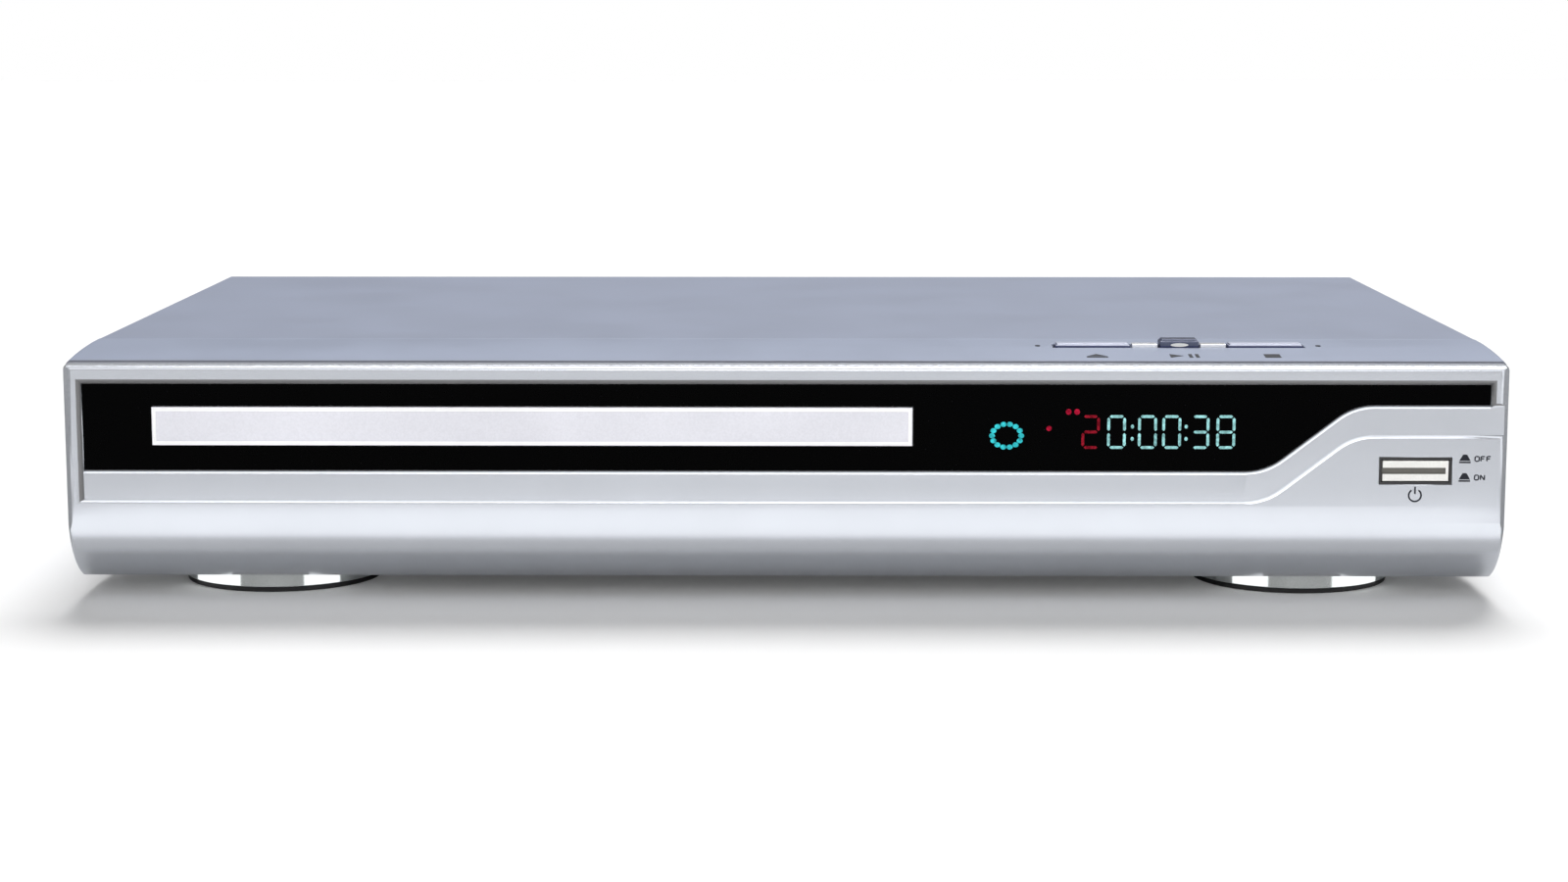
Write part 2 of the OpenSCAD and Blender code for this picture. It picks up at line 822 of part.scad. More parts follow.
module power_bezel() {
    color("dimgray")
        difference() {
            union() {
                box([power_at - power_w / 2, power_at + power_w / 2], [front_y, inner_y + eps],
                    [power_pos - power_h / 2, power_pos + power_h / 2]);
                box([power_at - power_w / 2 - 1.8, power_at + power_w / 2 + 1.8], [inner_y, inner_y + 1.2],
                    [power_pos - power_h / 2 - 1.8, power_pos + power_h / 2 + 1.8]);
            }
            box([power_at - power_w / 2 + power_rim, power_at + power_w / 2 - power_rim], [front_y - 1, inner_y + 2],
                [power_pos - power_h / 2 + power_rim, power_pos + power_h / 2 - power_rim]);
        }
}

// ---------------------------------------------------------------- feet

foot_wall = 2;
foot_top = 2;
boss_r = 5;

module foot(p) {
    color("lightgray")
        translate([p[0], p[1], 0])
            rotate_extrude()
                difference() {
                    translate([0, pad_t])
                        square([foot_r, floor_z - pad_t]);
                    translate([screw_shank + fit - eps, 0])
                        mirror([1, 0])
                            square([screw_shank + fit, floor_z + 1]);
                    translate([0, 0])
                        square([head_r + 1, floor_z - foot_top]);
                    translate([boss_r, 0])
                        square([foot_r - foot_wall - 3 - boss_r, floor_z - foot_top]);
                    translate([foot_r - 4.2, 0])
                        square([2.2, pad_t + 1.2]);
                }
}

module foot_pads() {
    color("black")
        for (p = foot_places)
            translate([p[0], p[1], 0])
                rotate_extrude()
                    union() {
                        translate([foot_r - 5.5, 0])
                            square([5, pad_t]);
                        translate([foot_r - 4.2, 0])
                            square([2.2, pad_t + 1.2]);
                    }
}

// A screw that points up or along any axis once turned: head below, shank above
module screw_up(length) {
    difference() {
        union() {
            cylinder(r = head_r, h = head_h);
            cylinder(r = screw_shank, h = head_h + length);
        }
        for (a = [0, 90])
            rotate(a)
                box([-1.7, 1.7], [-0.35, 0.35], [-1, 0.8]);
    }
}

module underside_screws() {
    color("gray") {
        for (p = foot_places)
            translate([p[0], p[1], floor_z - foot_top - head_h])
                screw_up(foot_top + sheet + 2.5);
        for (x = tab_x)
            translate([x, tab_screw_y, floor_z - head_h])
                screw_up(sheet + wall);
    }
}

module cover_screws() {
    color("gray") {
        both_sides()
            for (y = cover_screw_y)
                difference() {
                    union() {
                        bar_x(y, cover_screw_z, [side_x - 6, side_x - eps], screw_shank);
                        translate([side_x - sheet, y, cover_screw_z])
                            rotate([0, 90, 0])
                                countersink(0, sheet - eps);
                    }
                    for (a = [0, 90])
                        translate([side_x, y, cover_screw_z])
                            rotate([a, 0, 0])
                                box([-0.6, 1], [-1.7, 1.7], [-0.35, 0.35]);
                }
        for (x = lip_screw_x)
            translate([x, rear_y + head_h, lip_screw_z])
                rotate([90, 0, 0])
                    screw_up(6);
        for (x = rear_screw_x)
            translate([x, panel_y - 6, floor_z - head_h])
                screw_up(sheet * 2 + 2.5);
    }
}

module board_screws(x, y) {
    for (px = [x[0] + 5, x[1] - 5], py = [y[0] + 5, y[1] - 16])
        translate([px, py, board_top + head_h])
            mirror([0, 0, 1])
                screw_up(board_t + 4);
}

module inner_screws() {
    color("gray") {
        board_screws(main_x, main_y);
        board_screws(supply_x, supply_y);
        for (x = [-lug_x, lug_x], y = lug_y)
            translate([loader_at + x, front_y + y, frame_low + lug_t + head_h])
                mirror([0, 0, 1])
                    screw_up(lug_t + 5);
        at_loader()
            for (x = [-bridge_screw_x, bridge_screw_x], y = [bridge_y[0] + 6, bridge_y[1] - 6])
                translate([x, y, frame_top + bridge_t + head_h])
                    mirror([0, 0, 1])
                        screw_up(bridge_t + 4);
    }
}

// ---------------------------------------------------------------- electronics

module board(x, y) {
    color("seagreen")
        difference() {
            box(x, y, [board_z, board_top]);
            for (px = [x[0] + 5, x[1] - 5], py = [y[0] + 5, y[1] - 16])
                bar_z(px, py, [board_z - 1, board_top + 1], screw_shank + fit);
        }
}

module main_board() {
    board(main_x, main_y);
}

module power_board() {
    board(supply_x, supply_y);
}

decoder_w = 28;
decoder_in = 66;
memory_w = 22;
memory_d = 10;

module board_chips() {
    color("dimgray") {
        decoder = [main_x[1] - decoder_in, main_y[0] + 34];
        memory_x = decoder[0] + decoder_w + 7;
        box([decoder[0], decoder[0] + decoder_w], [decoder[1], decoder[1] + decoder_w], [board_top, board_top + 3.4]);
        for (i = [0:1])
            box([memory_x, memory_x + memory_w], [decoder[1] + 15 * i, decoder[1] + 15 * i + memory_d],
                [board_top, board_top + 1.2]);
        box([main_x[0] + 14, main_x[0] + 32], [main_y[0] + 18, main_y[0] + 28], [board_top, board_top + 2.2]);
    }
}

can_count = 5;
can_pitch = 9;
can_h = 11;
can_in = 24;

module board_capacitors() {
    color("darkslateblue")
        for (i = [0:can_count - 1])
            bar_z(main_x[0] + 16 + can_pitch * i, main_y[1] - can_in, [board_top, board_top + can_h], 3.2);
}

core_w = 34;
core_d = 16;
core_h = 28;
coil_r = 11;
coil_d = 6;

module transformer() {
    x = supply_x[0] + 13 + core_w / 2;
    y = supply_y[0] + 44 + core_d / 2;
    color("darkkhaki") {
        box([x - core_w / 2, x + core_w / 2], [y - core_d / 2, y + core_d / 2], [board_top, board_top + core_h]);
        bar_y(x, board_top + core_h / 2, [y - core_d / 2 - coil_d, y + core_d / 2 + coil_d], coil_r);
    }
}

module supply_capacitor() {
    color("midnightblue")
        bar_z(supply_x[0] + 58, supply_y[0] + 54, [board_top, board_top + 30], 9);
}

module fuse() {
    y = supply_y[1] - 34;
    x = supply_x[0] + 50;
    color("silver") {
        bar_x(y, board_top + 5, [x, x + 20], 2.4);
        for (e = [x - 1, x + 16])
            box([e, e + 5], [y - 3.2, y + 3.2], [board_top, board_top + 5.5]);
    }
}

module front_board() {
    color("seagreen")
        difference() {
            box(front_board_x, [front_board_y, switch_y], [chin_z - 10, display_z + display_h + 5]);
            box([power_at - 3.2, power_at + 3.2], [front_board_y - 1, switch_y + 1], [power_pos - 3.2, power_pos + 3.2]);
        }
}

module display_module() {
    color("darkslategray") {
        box([display_left, display_right], [pocket_y + 0.4, pocket_y + 6], [display_z, display_z + display_h]);
        box([display_left + 3, display_right - 3], [pocket_y + 5.9, front_board_y],
            [display_z + 2, display_z + display_h - 2]);
    }
}

module remote_receiver() {
    color("darkslategray") {
        box(receiver_x, [pocket_y + 0.6, pocket_y + 6], receiver_z);
        box([receiver_x[0] + 1, receiver_x[1] - 1], [pocket_y + 5.9, front_board_y],
            [receiver_z[0] + 1, receiver_z[1] - 1]);
    }
}

module key_board() {
    color("seagreen")
        box(key_board_x, key_board_y, [key_board_z, key_board_z + board_t]);
}

module key_switches() {
    color("gray")
        for (x = [open_x, play_x, stop_x]) {
            middle = (x[0] + x[1]) / 2;
            box([middle - 3, middle + 3], [key_y - 3, key_y + 3], [key_board_z + board_t, switch_top - 0.8]);
            bar_z(middle, key_y, [switch_top - 0.9, switch_top], 1.7);
        }
}

module power_switch() {
    color("dimgray")
        difference() {
            box([power_at - 6, power_at + 6], [switch_y, switch_y + 16], [power_pos - 6, power_pos + 6]);
            box([power_at - power_stem - 0.4, power_at + power_stem + 0.4], [switch_y - 1, switch_y + 11],
                [power_pos - power_stem - 0.4, power_pos + power_stem + 0.4]);
        }
}

block_y = panel_y - 12;
collar_y = panel_y + sheet + 0.3;
jack_step = 0.3;

module socket_core(x, z) {
    difference() {
        bar_y(x, z, [block_y, jack_tip - 1], jack_core);
        bar_y(x, z, [jack_tip - 1 - jack_deep, jack_tip], jack_hole);
    }
}

module signal_sockets() {
    margin = jack_pitch / 2;
    color("black") {
        difference() {
            union() {
                box([jack_columns[0] - margin, jack_columns[2] + margin], [block_y, panel_y],
                    [board_top, jack_rows[1] + margin]);
                box([digital_x - margin, digital_x + margin], [block_y, panel_y], [board_top, jack_rows[0] + margin]);
            }
            for (x = jack_columns, z = jack_rows)
                bar_y(x, z, [block_y + 4, panel_y + 1], jack_d / 2 - jack_step);
            bar_y(digital_x, jack_rows[0], [block_y + 4, panel_y + 1], jack_d / 2 - jack_step);
        }
        for (x = jack_columns, z = jack_rows)
            socket_core(x, z);
        socket_core(digital_x, jack_rows[0]);
    }
}

module collar(x, z) {
    difference() {
        union() {
            bar_y(x, z, [collar_y, jack_tip], jack_d / 2);
            bar_y(x, z, [block_y + 4, collar_y + eps], jack_d / 2 - jack_step);
        }
        bar_y(x, z, [block_y, jack_tip + 1], jack_d / 2 - jack_wall);
    }
}

module signal_collars() {
    color("gold") {
        for (x = jack_columns, z = jack_rows)
            collar(x, z);
        collar(digital_x, jack_rows[0]);
    }
}

video_r = 6.2;

module round_video_socket() {
    z = jack_rows[0];
    color("black")
        difference() {
            union() {
                bar_y(video_x, z, [panel_y - 10, rear_y + 2.4], video_r);
                box([video_x - video_r, video_x + video_r], [panel_y - 10, panel_y - 0.5], [board_top, z]);
            }
            difference() {
                bar_y(video_x, z, [rear_y - 4, rear_y + 3], 4.6);
                box([video_x - 1.2, video_x + 1.2], [rear_y - 5, rear_y + 4], [z - 5, z - 2.6]);
            }
            for (a = [35, 75, 105, 145])
                bar_y(video_x + 2.6 * cos(a), z + 2.6 * sin(a) - 0.8, [rear_y - 8, rear_y], 0.6);
        }
}

inlet_mouth = rear_y + 1.5;
inlet_deep = 12;
inlet_r = 4.4;

module inlet_outline(grow) {
    for (s = [-1, 1])
        translate([inlet_at + s * inlet_pitch / 2, inlet_pos])
            circle(inlet_r + grow);
    translate([inlet_at - inlet_pitch / 2, inlet_pos - inlet_r - grow])
        square([inlet_pitch, 2 * (inlet_r + grow)]);
}

module mains_inlet() {
    color("black")
        difference() {
            union() {
                box([inlet_at - inlet_w / 2, inlet_at + inlet_w / 2], [panel_y - 16, inlet_mouth],
                    [inlet_pos - inlet_h / 2, inlet_pos + inlet_h / 2]);
                box([inlet_at - inlet_w / 2 + 2, inlet_at + inlet_w / 2 - 2], [panel_y - 16, panel_y - 6],
                    [board_top, inlet_pos]);
            }
            along_y([inlet_mouth - inlet_deep, inlet_mouth + 1])
                inlet_outline(0);
        }
}

module inlet_pins() {
    color("silver")
        for (s = [-1, 1])
            bar_y(inlet_at + s * inlet_pitch / 2, inlet_pos, [inlet_mouth - inlet_deep, inlet_mouth - 2], 1.2);
}

// Flat cables, as (y, z) and (x, z) outlines that follow their route
module ribbon_cables() {
    t = 1;
    low = board_top + 5;
    y0 = switch_y;
    y1 = main_y[0] + 8;
    x0 = loader_at + frame_x + frame_wall;
    x1 = main_x[0] + 4;
    high = board_top + 12;
    loader_end = front_y + frame_back;
    color("lightgray") {
        along_x([front_board_x[0] + 18, front_board_x[0] + 38])
            polygon([
                [y0, low], [y1, low], [y1, board_top], [y1 + t, board_top],
                [y1 + t, low + t], [y0, low + t],
            ]);
        along_y([loader_end - 16, loader_end])
            polygon([
                [x0, high], [x1, high], [x1, board_top], [x1 + t, board_top],
                [x1 + t, high + t], [x0, high + t],
            ]);
    }
}

module power_lead() {
    y = supply_y[0] + 30;
    color("red") {
        for (x = [main_x[1] - 10, supply_x[0] + 3])
            box([x, x + 6], [y - 6, y + 6], [board_top, board_top + 7]);
        for (i = [0:3])
            bar_x(y - 4.5 + 3 * i, board_top + 5, [main_x[1] - 4, supply_x[0] + 3], 0.8);
    }
}

// ---------------------------------------------------------------- loader

bridge_screw_x = frame_x + frame_wall / 2;

module loader_frame() {
    beam_top = -3;
    foot_flange = 14;
    side = frame_x + eps;
    color("dimgray")
        at_loader()
            difference() {
                union() {
                    both_sides() {
                        box([frame_x, frame_x + frame_wall], [frame_front, frame_back], [-frame_drop, frame_top]);
                        box([frame_x - 4, side], [frame_front, frame_back], [-ledge_gap - 2.5, -ledge_gap]);
                        box([frame_x - foot_flange, side], [frame_front, frame_back],
                            [-frame_drop, -frame_drop + 2.5]);
                        box([frame_x - 3.5, side], [frame_front, frame_front + 28], [tray_h + 0.4, frame_top]);
                        box([36, 42], [hinge_y - 7, frame_back - 2], [-frame_drop, hinge_z + 4.5]);
                        for (y = lug_y)
                            box([frame_x + frame_wall - eps, lug_x + 4], [y - 5, y + 5],
                                [-frame_drop, -frame_drop + lug_t]);
                    }
                    box([-side, side], [frame_front, gear_deck_back], [deck_z - deck_plate, deck_z]);
                    box([-side, side], [frame_front, frame_front + 2.8], [deck_z - eps, beam_top]);
                    box([-side, side], [gear_deck_back - 2, base_front], [-frame_drop, -frame_drop + 1.1]);
                    box([-side, side], [hinge_y - 20, frame_back], [-frame_drop, -frame_drop + 2.5]);
                    box([-side, side], [frame_back - 3, frame_back], [-frame_drop, -4]);
                    bar_z(gear_x, gear_y, [deck_z - eps, plate_z - 1], post_r);
                    bar_z(idler_x, idler_y, [deck_z - eps, wheel_z[1] - 0.3], post_r);
                }
                bar_z(loading_x, idler_y, [deck_z - deck_plate - 1, deck_z + 1], 3);
                for (x = [-lug_x, lug_x], y = lug_y)
                    bar_z(x, y, [-frame_drop - 1, -frame_drop + lug_t + 1], screw_shank + fit);
                both_sides() {
                    bar_x(hinge_y, hinge_z, [35, 43], hinge_r + running);
                    for (y = [bridge_y[0] + 6, bridge_y[1] - 6])
                        bar_z(bridge_screw_x, y, [frame_top - 4, frame_top + 1], screw_shank);
                }
            }
}

module clamp_bridge() {
    half = frame_x + frame_wall;
    color("silver")
        at_loader()
            difference() {
                union() {
                    box([-half, half], bridge_y, [frame_top, frame_top + bridge_t]);
                    for (y = [bridge_y[0], bridge_y[1] - bridge_t])
                        box([-half + 8, half - 8], [y, y + bridge_t], [frame_top + bridge_t - eps, frame_top + 4]);
                }
                bar_z(0, spindle_in, [frame_top - 1, frame_top + 3], bridge_hole);
                for (x = [-bridge_screw_x, bridge_screw_x], y = [bridge_y[0] + 6, bridge_y[1] - 6])
                    bar_z(x, y, [frame_top - 1, frame_top + 3], screw_shank + fit);
            }
}

module disc_clamp() {
    neck_top = frame_top + bridge_t + 0.6;
    color("ivory")
        at_loader()
            difference() {
                union() {
                    bar_z(0, spindle_in, [puck_z, puck_z + puck_t], table_r);
                    bar_z(0, spindle_in, [puck_z, neck_top + eps], bridge_hole - 1);
                    bar_z(0, spindle_in, [neck_top, neck_top + 1.4], bridge_hole + 2);
                }
                bar_z(0, spindle_in, [puck_z - 1, puck_z + 1.7], hub_d / 2 + 1);
            }
}

// One tooth of the rack, centred on y = 0 and pointing along +X from the pitch line
module rack_tooth() {
    tip = 0.9 * gear_m;
    root = 1.25 * gear_m;
    half = PI * gear_m / 4 - backlash / 4;
    slope = tan(20);
    polygon([
        [-root - eps, -half - root * slope], [tip, -half + tip * slope],
        [tip, half - tip * slope], [-root - eps, half + root * slope],
    ]);
}

module disc_tray() {
    half = tray_w / 2;
    rail = half - rail_w_in;
    hollow_front = 20;
    rack_count = floor((tray_back - 2 - gear_y) / (PI * gear_m)) + 3;
    rack_start = gear_y - 3.5 * PI * gear_m;
    color("darkslategray")
        at_loader()
            union() {
                difference() {
                    box([-half, half], [tray_front, tray_back], [0, tray_h]);
                    box([-rail, rail], [hollow_front, tray_back + 1], [-1, plate_z]);
                    bar_z(0, spindle_in, [tray_h - recess_depth, tray_h + 1], disc_recess_d / 2);
                    bar_z(0, spindle_in, [tray_h - recess_depth - small_depth, tray_h + 1], small_recess_d / 2);
                    bar_z(0, spindle_in, [-1, tray_h + 1], slot_w / 2);
                    box([-slot_w / 2, slot_w / 2], [spindle_in, tray_back + 1], [-1, tray_h + 1]);
                }
                for (x = [-clip_x, clip_x])
                    box([x - clip_w / 2, x + clip_w / 2], [door_back, tray_front + eps], clip_z);
                box([-rail - eps, rack_x - 1.25 * gear_m], [hollow_front - eps, tray_back], [0, plate_z + eps]);
                for (i = [0:rack_count - 1])
                    translate([rack_x, rack_start + i * PI * gear_m, 0])
                        linear_extrude(plate_z + eps)
                            rack_tooth();
            }
}

module tray_door() {
    color("thistle")
        at_loader()
            box([-door_w / 2, door_w / 2], [door_back - door_t, door_back], [-tray_rise, tray_h + tray_rise]);
}

// Involute gear outline with its first tooth centred on +X
function involute(base, r) = let (a = acos(base / r)) tan(a) * 180 / PI - a;
module gear_outline(n) {
    pitch = gear_m * n / 2;
    base = pitch * cos(20);
    tip = pitch + 0.9 * gear_m;
    root = pitch - 1.2 * gear_m;
    start = max(base, root) + 0.001;
    half = 90 / n - backlash / 4 / pitch * 180 / PI;
    flank = [for (i = [0:4]) start + (tip - start) * i / 4];
    union() {
        circle(root, $fn = 4 * n);
        for (k = [0:n - 1])
            rotate(k * 360 / n)
                polygon(concat(
                    [[root * 0.9, -root * 0.9 * sin(half)]],
                    [for (r = flank) let (a = half + involute(base, pitch) - involute(base, r))
                        [r * cos(a), -r * sin(a)]],
                    [for (r = reversed(flank)) let (a = half + involute(base, pitch) - involute(base, r))
                        [r * cos(a), r * sin(a)]],
                    [[root * 0.9, root * 0.9 * sin(half)]]
                ));
    }
}

module toothed(n, z, turn) {
    translate([0, 0, z[0]])
        rotate(turn)
            linear_extrude(z[1] - z[0])
                gear_outline(n);
}

module drive_gear() {
    color("ivory")
        at_loader()
            translate([gear_x, gear_y, 0])
                difference() {
                    union() {
                        toothed(wheel_n, wheel_z, idler_a);
                        toothed(pinion_n, [wheel_z[1] - eps, pinion_z[1]], 180);
                    }
                    cylinder(r = post_r + running, h = 60, center = true);
                }
}

module pulley_gear() {
    low = belt_z - groove_h / 2;
    high = belt_z + groove_h / 2;
    color("ivory")
        at_loader()
            translate([idler_x, idler_y, 0])
                difference() {
                    union() {
                        bar_z(0, 0, [pulley_z[0] + 0.2, low], pulley_r + flange_up);
                        bar_z(0, 0, [low - eps, high + eps], pulley_r);
                        bar_z(0, 0, [high, pulley_z[1]], pulley_r + flange_up);
                        toothed(idler_n, [pulley_z[1] - eps, wheel_z[1]], idler_a + 180 + 180 / idler_n);
                    }
                    cylinder(r = post_r + running, h = 60, center = true);
                }
}

motor_shaft = 1;

module motor_pulley() {
    low = belt_z - groove_h / 2;
    high = belt_z + groove_h / 2;
    color("ivory")
        at_loader()
            difference() {
                union() {
                    bar_z(loading_x, idler_y, [pulley_z[0] + 0.2, low], motor_pulley_r + flange_up);
                    bar_z(loading_x, idler_y, [low - eps, high + eps], motor_pulley_r);
                    bar_z(loading_x, idler_y, [high, pulley_z[1]], motor_pulley_r + flange_up);
                }
                bar_z(loading_x, idler_y, [deck_z - 5, 0], motor_shaft + running);
            }
}

module belt_outline(grow) {
    hull() {
        translate([idler_x, idler_y])
            circle(pulley_r + belt_gap + grow);
        translate([loading_x, idler_y])
            circle(motor_pulley_r + belt_gap + grow);
    }
}

module drive_belt() {
    color("black")
        at_loader()
            translate([0, 0, belt_z - belt_t / 2])
                linear_extrude(belt_t)
                    difference() {
                        belt_outline(belt_t);
                        belt_outline(0);
                    }
}

module loading_motor() {
    top = deck_z - deck_plate;
    color("silver")
        at_loader() {
            bar_z(loading_x, idler_y, [top - motor_h, top], motor_d / 2);
            bar_z(loading_x, idler_y, [top - eps, pulley_z[1] + 0.4], motor_shaft);
        }
}

module cam_slot() {
    grow = pin_r + 0.35;
    length = sqrt(cam_travel * cam_travel + pin_drop * pin_drop);
    a = atan2(pin_drop, cam_travel);
    translate([0, hinge_z])
        rotate(180 + a) {
            circle(grow);
            translate([length, 0])
                circle(grow);
            translate([0, -grow])
                square([length, 2 * grow]);
        }
}

module cam_slider() {
    color("ivory")
        at_loader()
            along_y(cam_y)
                difference() {
                    union() {
                        translate([-cam_travel - 6, -frame_drop + 1.5])
                            square([cam_travel + 12, frame_drop - 1.5 + base_z[1]]);
                        translate([-44, -frame_drop + 1.5])
                            square([30, 4]);
                    }
                    cam_slot();
                }
}

module traverse() {
    rod_block = 3;
    color("dimgray")
        at_loader()
            difference() {
                union() {
                    box([-base_x, base_x], [base_front, base_back], base_z);
                    both_sides() {
                        box([rod_x - rod_block, rod_x + rod_block], [base_front + 2, base_front + 6],
                            [base_z[1] - eps, rod_z + rod_block]);
                        box([rod_x - rod_block, rod_x + rod_block], [base_back - 6, base_back],
                            [base_z[1] - eps, rod_z + rod_block]);
                        box([base_x - 6, base_x], [hinge_y - 12, hinge_y + 3], [hinge_z - 3, base_z[1]]);
                        bar_x(hinge_y, hinge_z, [base_x - eps, 41.5], hinge_r);
                    }
                    for (y = [screw_y[0], screw_ends[1] + 0.5])
                        box([-screw_x - 3, -screw_x + 3], [y, y + 3.5], [base_z[1] - eps, screw_z + 3]);
                    box([-4, 4], [base_front, base_front + 3], [hinge_z - 3, base_z[1]]);
                    bar_y(0, hinge_z, [cam_y[0] - 0.5, base_front + eps], pin_r);
                }
                box([-sled_x - 1, sled_x + 1], base_in, [base_z[0] - 1, base_z[1] + 1]);
                for (x = [-rod_x, rod_x])
                    bar_y(x, rod_z, [base_front, base_back + 1], rod_r);
                bar_y(-screw_x, screw_z, [screw_y[0] - 1, screw_y[1] + 1], screw_shaft + running);
            }
}

module spindle_motor() {
    color("silver")
        at_loader() {
            bar_z(0, spindle_in, [base_z[1], -0.5], spindle_motor_r);
            bar_z(0, spindle_in, [-0.6, disc_z - 0.5], spindle_r);
        }
}

module turntable() {
    color("black")
        at_loader()
            difference() {
                union() {
                    bar_z(0, spindle_in, [0, disc_z - 3 + eps], 5);
                    bar_z(0, spindle_in, [disc_z - 3, disc_z], table_r);
                    translate([0, spindle_in, disc_z - eps])
                        cylinder(r1 = hub_d / 2, r2 = hub_d / 2 - 1.2, h = 2.2 + eps);
                }
                bar_z(0, spindle_in, [-1, disc_z], spindle_r + running);
            }
}

module guide_rods() {
    color("silver")
        at_loader()
            for (x = [-rod_x, rod_x])
                bar_y(x, rod_z, [base_front + 2, base_back], rod_r);
}

module pickup_sled() {
    lens_y = spindle_in + lens_home;
    follower_x = -screw_x + screw_r + 0.4;
    color("darkgray")
        at_loader()
            difference() {
                union() {
                    box([-sled_x, sled_x], sled_y, sled_z);
                    box([follower_x, -sled_x + eps], [lens_y - 4, lens_y + 2], [screw_z - 1.5, screw_z + 1.5]);
                }
                bar_y(-rod_x, rod_z, [sled_y[0] - 1, sled_y[1] + 1], rod_r + running);
                box([rod_x - rod_r - 0.3, sled_x + 1], [sled_y[0] - 1, sled_y[1] + 1],
                    [rod_z - rod_r - running, rod_z + rod_r + running]);
                box([-6, 6], [lens_y - 6, lens_y + 6], [0, sled_z[1] + 1]);
            }
}

module objective_lens() {
    lens_y = spindle_in + lens_home;
    color("lightblue")
        at_loader() {
            box([-4.5, 4.5], [lens_y - 4.5, lens_y + 4.5], [0.9, 2.8]);
            bar_z(0, lens_y, [2.7, 4.2], lens_r);
            translate([0, lens_y, 4.2 - eps])
                cylinder(r1 = lens_r - 0.4, r2 = lens_r - 1.6, h = 0.7);
        }
}

screw_shaft = 1.5;

module feed_screw() {
    count = floor((screw_ends[1] - screw_ends[0]) / screw_pitch);
    color("silver")
        at_loader() {
            bar_y(-screw_x, screw_z, [screw_y[0] + 0.3, screw_ends[0] + eps], screw_shaft);
            bar_y(-screw_x, screw_z, [screw_ends[0], screw_ends[1]], screw_r - 0.4);
            bar_y(-screw_x, screw_z, [screw_ends[1] - eps, screw_y[1]], screw_shaft);
            for (i = [0:count - 1])
                bar_y(-screw_x, screw_z,
                    [screw_ends[0] + i * screw_pitch, screw_ends[0] + (i + 0.55) * screw_pitch], screw_r);
        }
}

module sled_motor() {
    color("silver")
        at_loader()
            bar_y(-screw_x, screw_z, [screw_ends[1] + 4, screw_ends[1] + 21], 5.5);
}

top_cover();
bottom_chassis();
rear_panel();
front_panel();
button_deck();
button_rails();
display_window();
tray_door();
open_close_button();
play_pause_button();
stop_button();
power_button();
power_bezel();
foot(foot_places[0]);  // foot_front_left
foot(foot_places[1]);  // foot_front_right
foot(foot_places[2]);  // foot_rear_left
foot(foot_places[3]);  // foot_rear_right
foot_pads();
underside_screws();
cover_screws();
inner_screws();
main_board();
board_chips();
board_capacitors();
power_board();
transformer();
supply_capacitor();
fuse();
front_board();
display_module();
remote_receiver();
key_board();
key_switches();
power_switch();
signal_sockets();
signal_collars();
round_video_socket();
mains_inlet();
inlet_pins();
ribbon_cables();
power_lead();
loader_frame();
clamp_bridge();
disc_clamp();
disc_tray();
drive_gear();
pulley_gear();
motor_pulley();
drive_belt();
loading_motor();
cam_slider();
traverse();
spindle_motor();
turntable();
guide_rods();
pickup_sled();
objective_lens();
feed_screw();
sled_motor();
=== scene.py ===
"""Looks of a flat disc player with a tray: painted cover, lacquered front, black window and lit display."""

import json
from math import atan2, cos, degrees, hypot, pi, radians, sin, sqrt

import bmesh
import bpy
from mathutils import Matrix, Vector


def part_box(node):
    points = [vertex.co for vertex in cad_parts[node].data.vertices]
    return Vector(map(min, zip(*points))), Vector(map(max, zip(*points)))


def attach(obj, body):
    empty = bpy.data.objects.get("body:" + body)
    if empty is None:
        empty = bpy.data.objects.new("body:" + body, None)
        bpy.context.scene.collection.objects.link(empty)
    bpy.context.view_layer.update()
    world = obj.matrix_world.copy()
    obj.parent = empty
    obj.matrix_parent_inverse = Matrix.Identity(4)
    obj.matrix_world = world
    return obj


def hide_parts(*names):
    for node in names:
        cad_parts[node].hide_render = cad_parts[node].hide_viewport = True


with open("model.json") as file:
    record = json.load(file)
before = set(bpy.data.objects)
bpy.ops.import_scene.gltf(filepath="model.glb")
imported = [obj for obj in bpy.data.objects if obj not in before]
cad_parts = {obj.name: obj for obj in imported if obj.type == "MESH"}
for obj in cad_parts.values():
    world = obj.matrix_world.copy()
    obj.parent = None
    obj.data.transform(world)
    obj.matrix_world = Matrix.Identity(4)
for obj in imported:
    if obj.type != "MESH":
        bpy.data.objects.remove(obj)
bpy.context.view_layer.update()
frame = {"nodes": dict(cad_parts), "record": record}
MM = 0.001
nodes = frame["nodes"]
bodies = frame["record"]["behaviour"]["bodies"]
slots = {part["node"]: part["material_slot"] for part in frame["record"]["subparts"]}

# ---------------------------------------------------------------- finishes

# Most of a noise lies between these two values.
NOISE_LOW = 0.3
NOISE_HIGH = 0.7
BROAD_DETAIL = 3.0
FINE_DETAIL = 2.0
TRACKS_PER_CELL = 5.0
BARE_SHARE = 0.7


def feed(tree, socket, value):
    """Links a shader value to a socket, or sets a plain one there."""
    if isinstance(value, bpy.types.NodeSocket):
        tree.links.new(value, socket)
    else:
        socket.default_value = value


def shader_node(tree, kind, **inputs):
    """A shader node whose inputs are fed by name."""
    node = tree.nodes.new(kind)
    for name, value in inputs.items():
        feed(tree, node.inputs[name], value)
    return node


def worked(tree, operation, *values):
    """The result of an operation on one or two shader values."""
    node = tree.nodes.new("ShaderNodeMath")
    node.operation = operation
    for socket, value in zip(node.inputs, values):
        feed(tree, socket, value)
    return node.outputs[0]


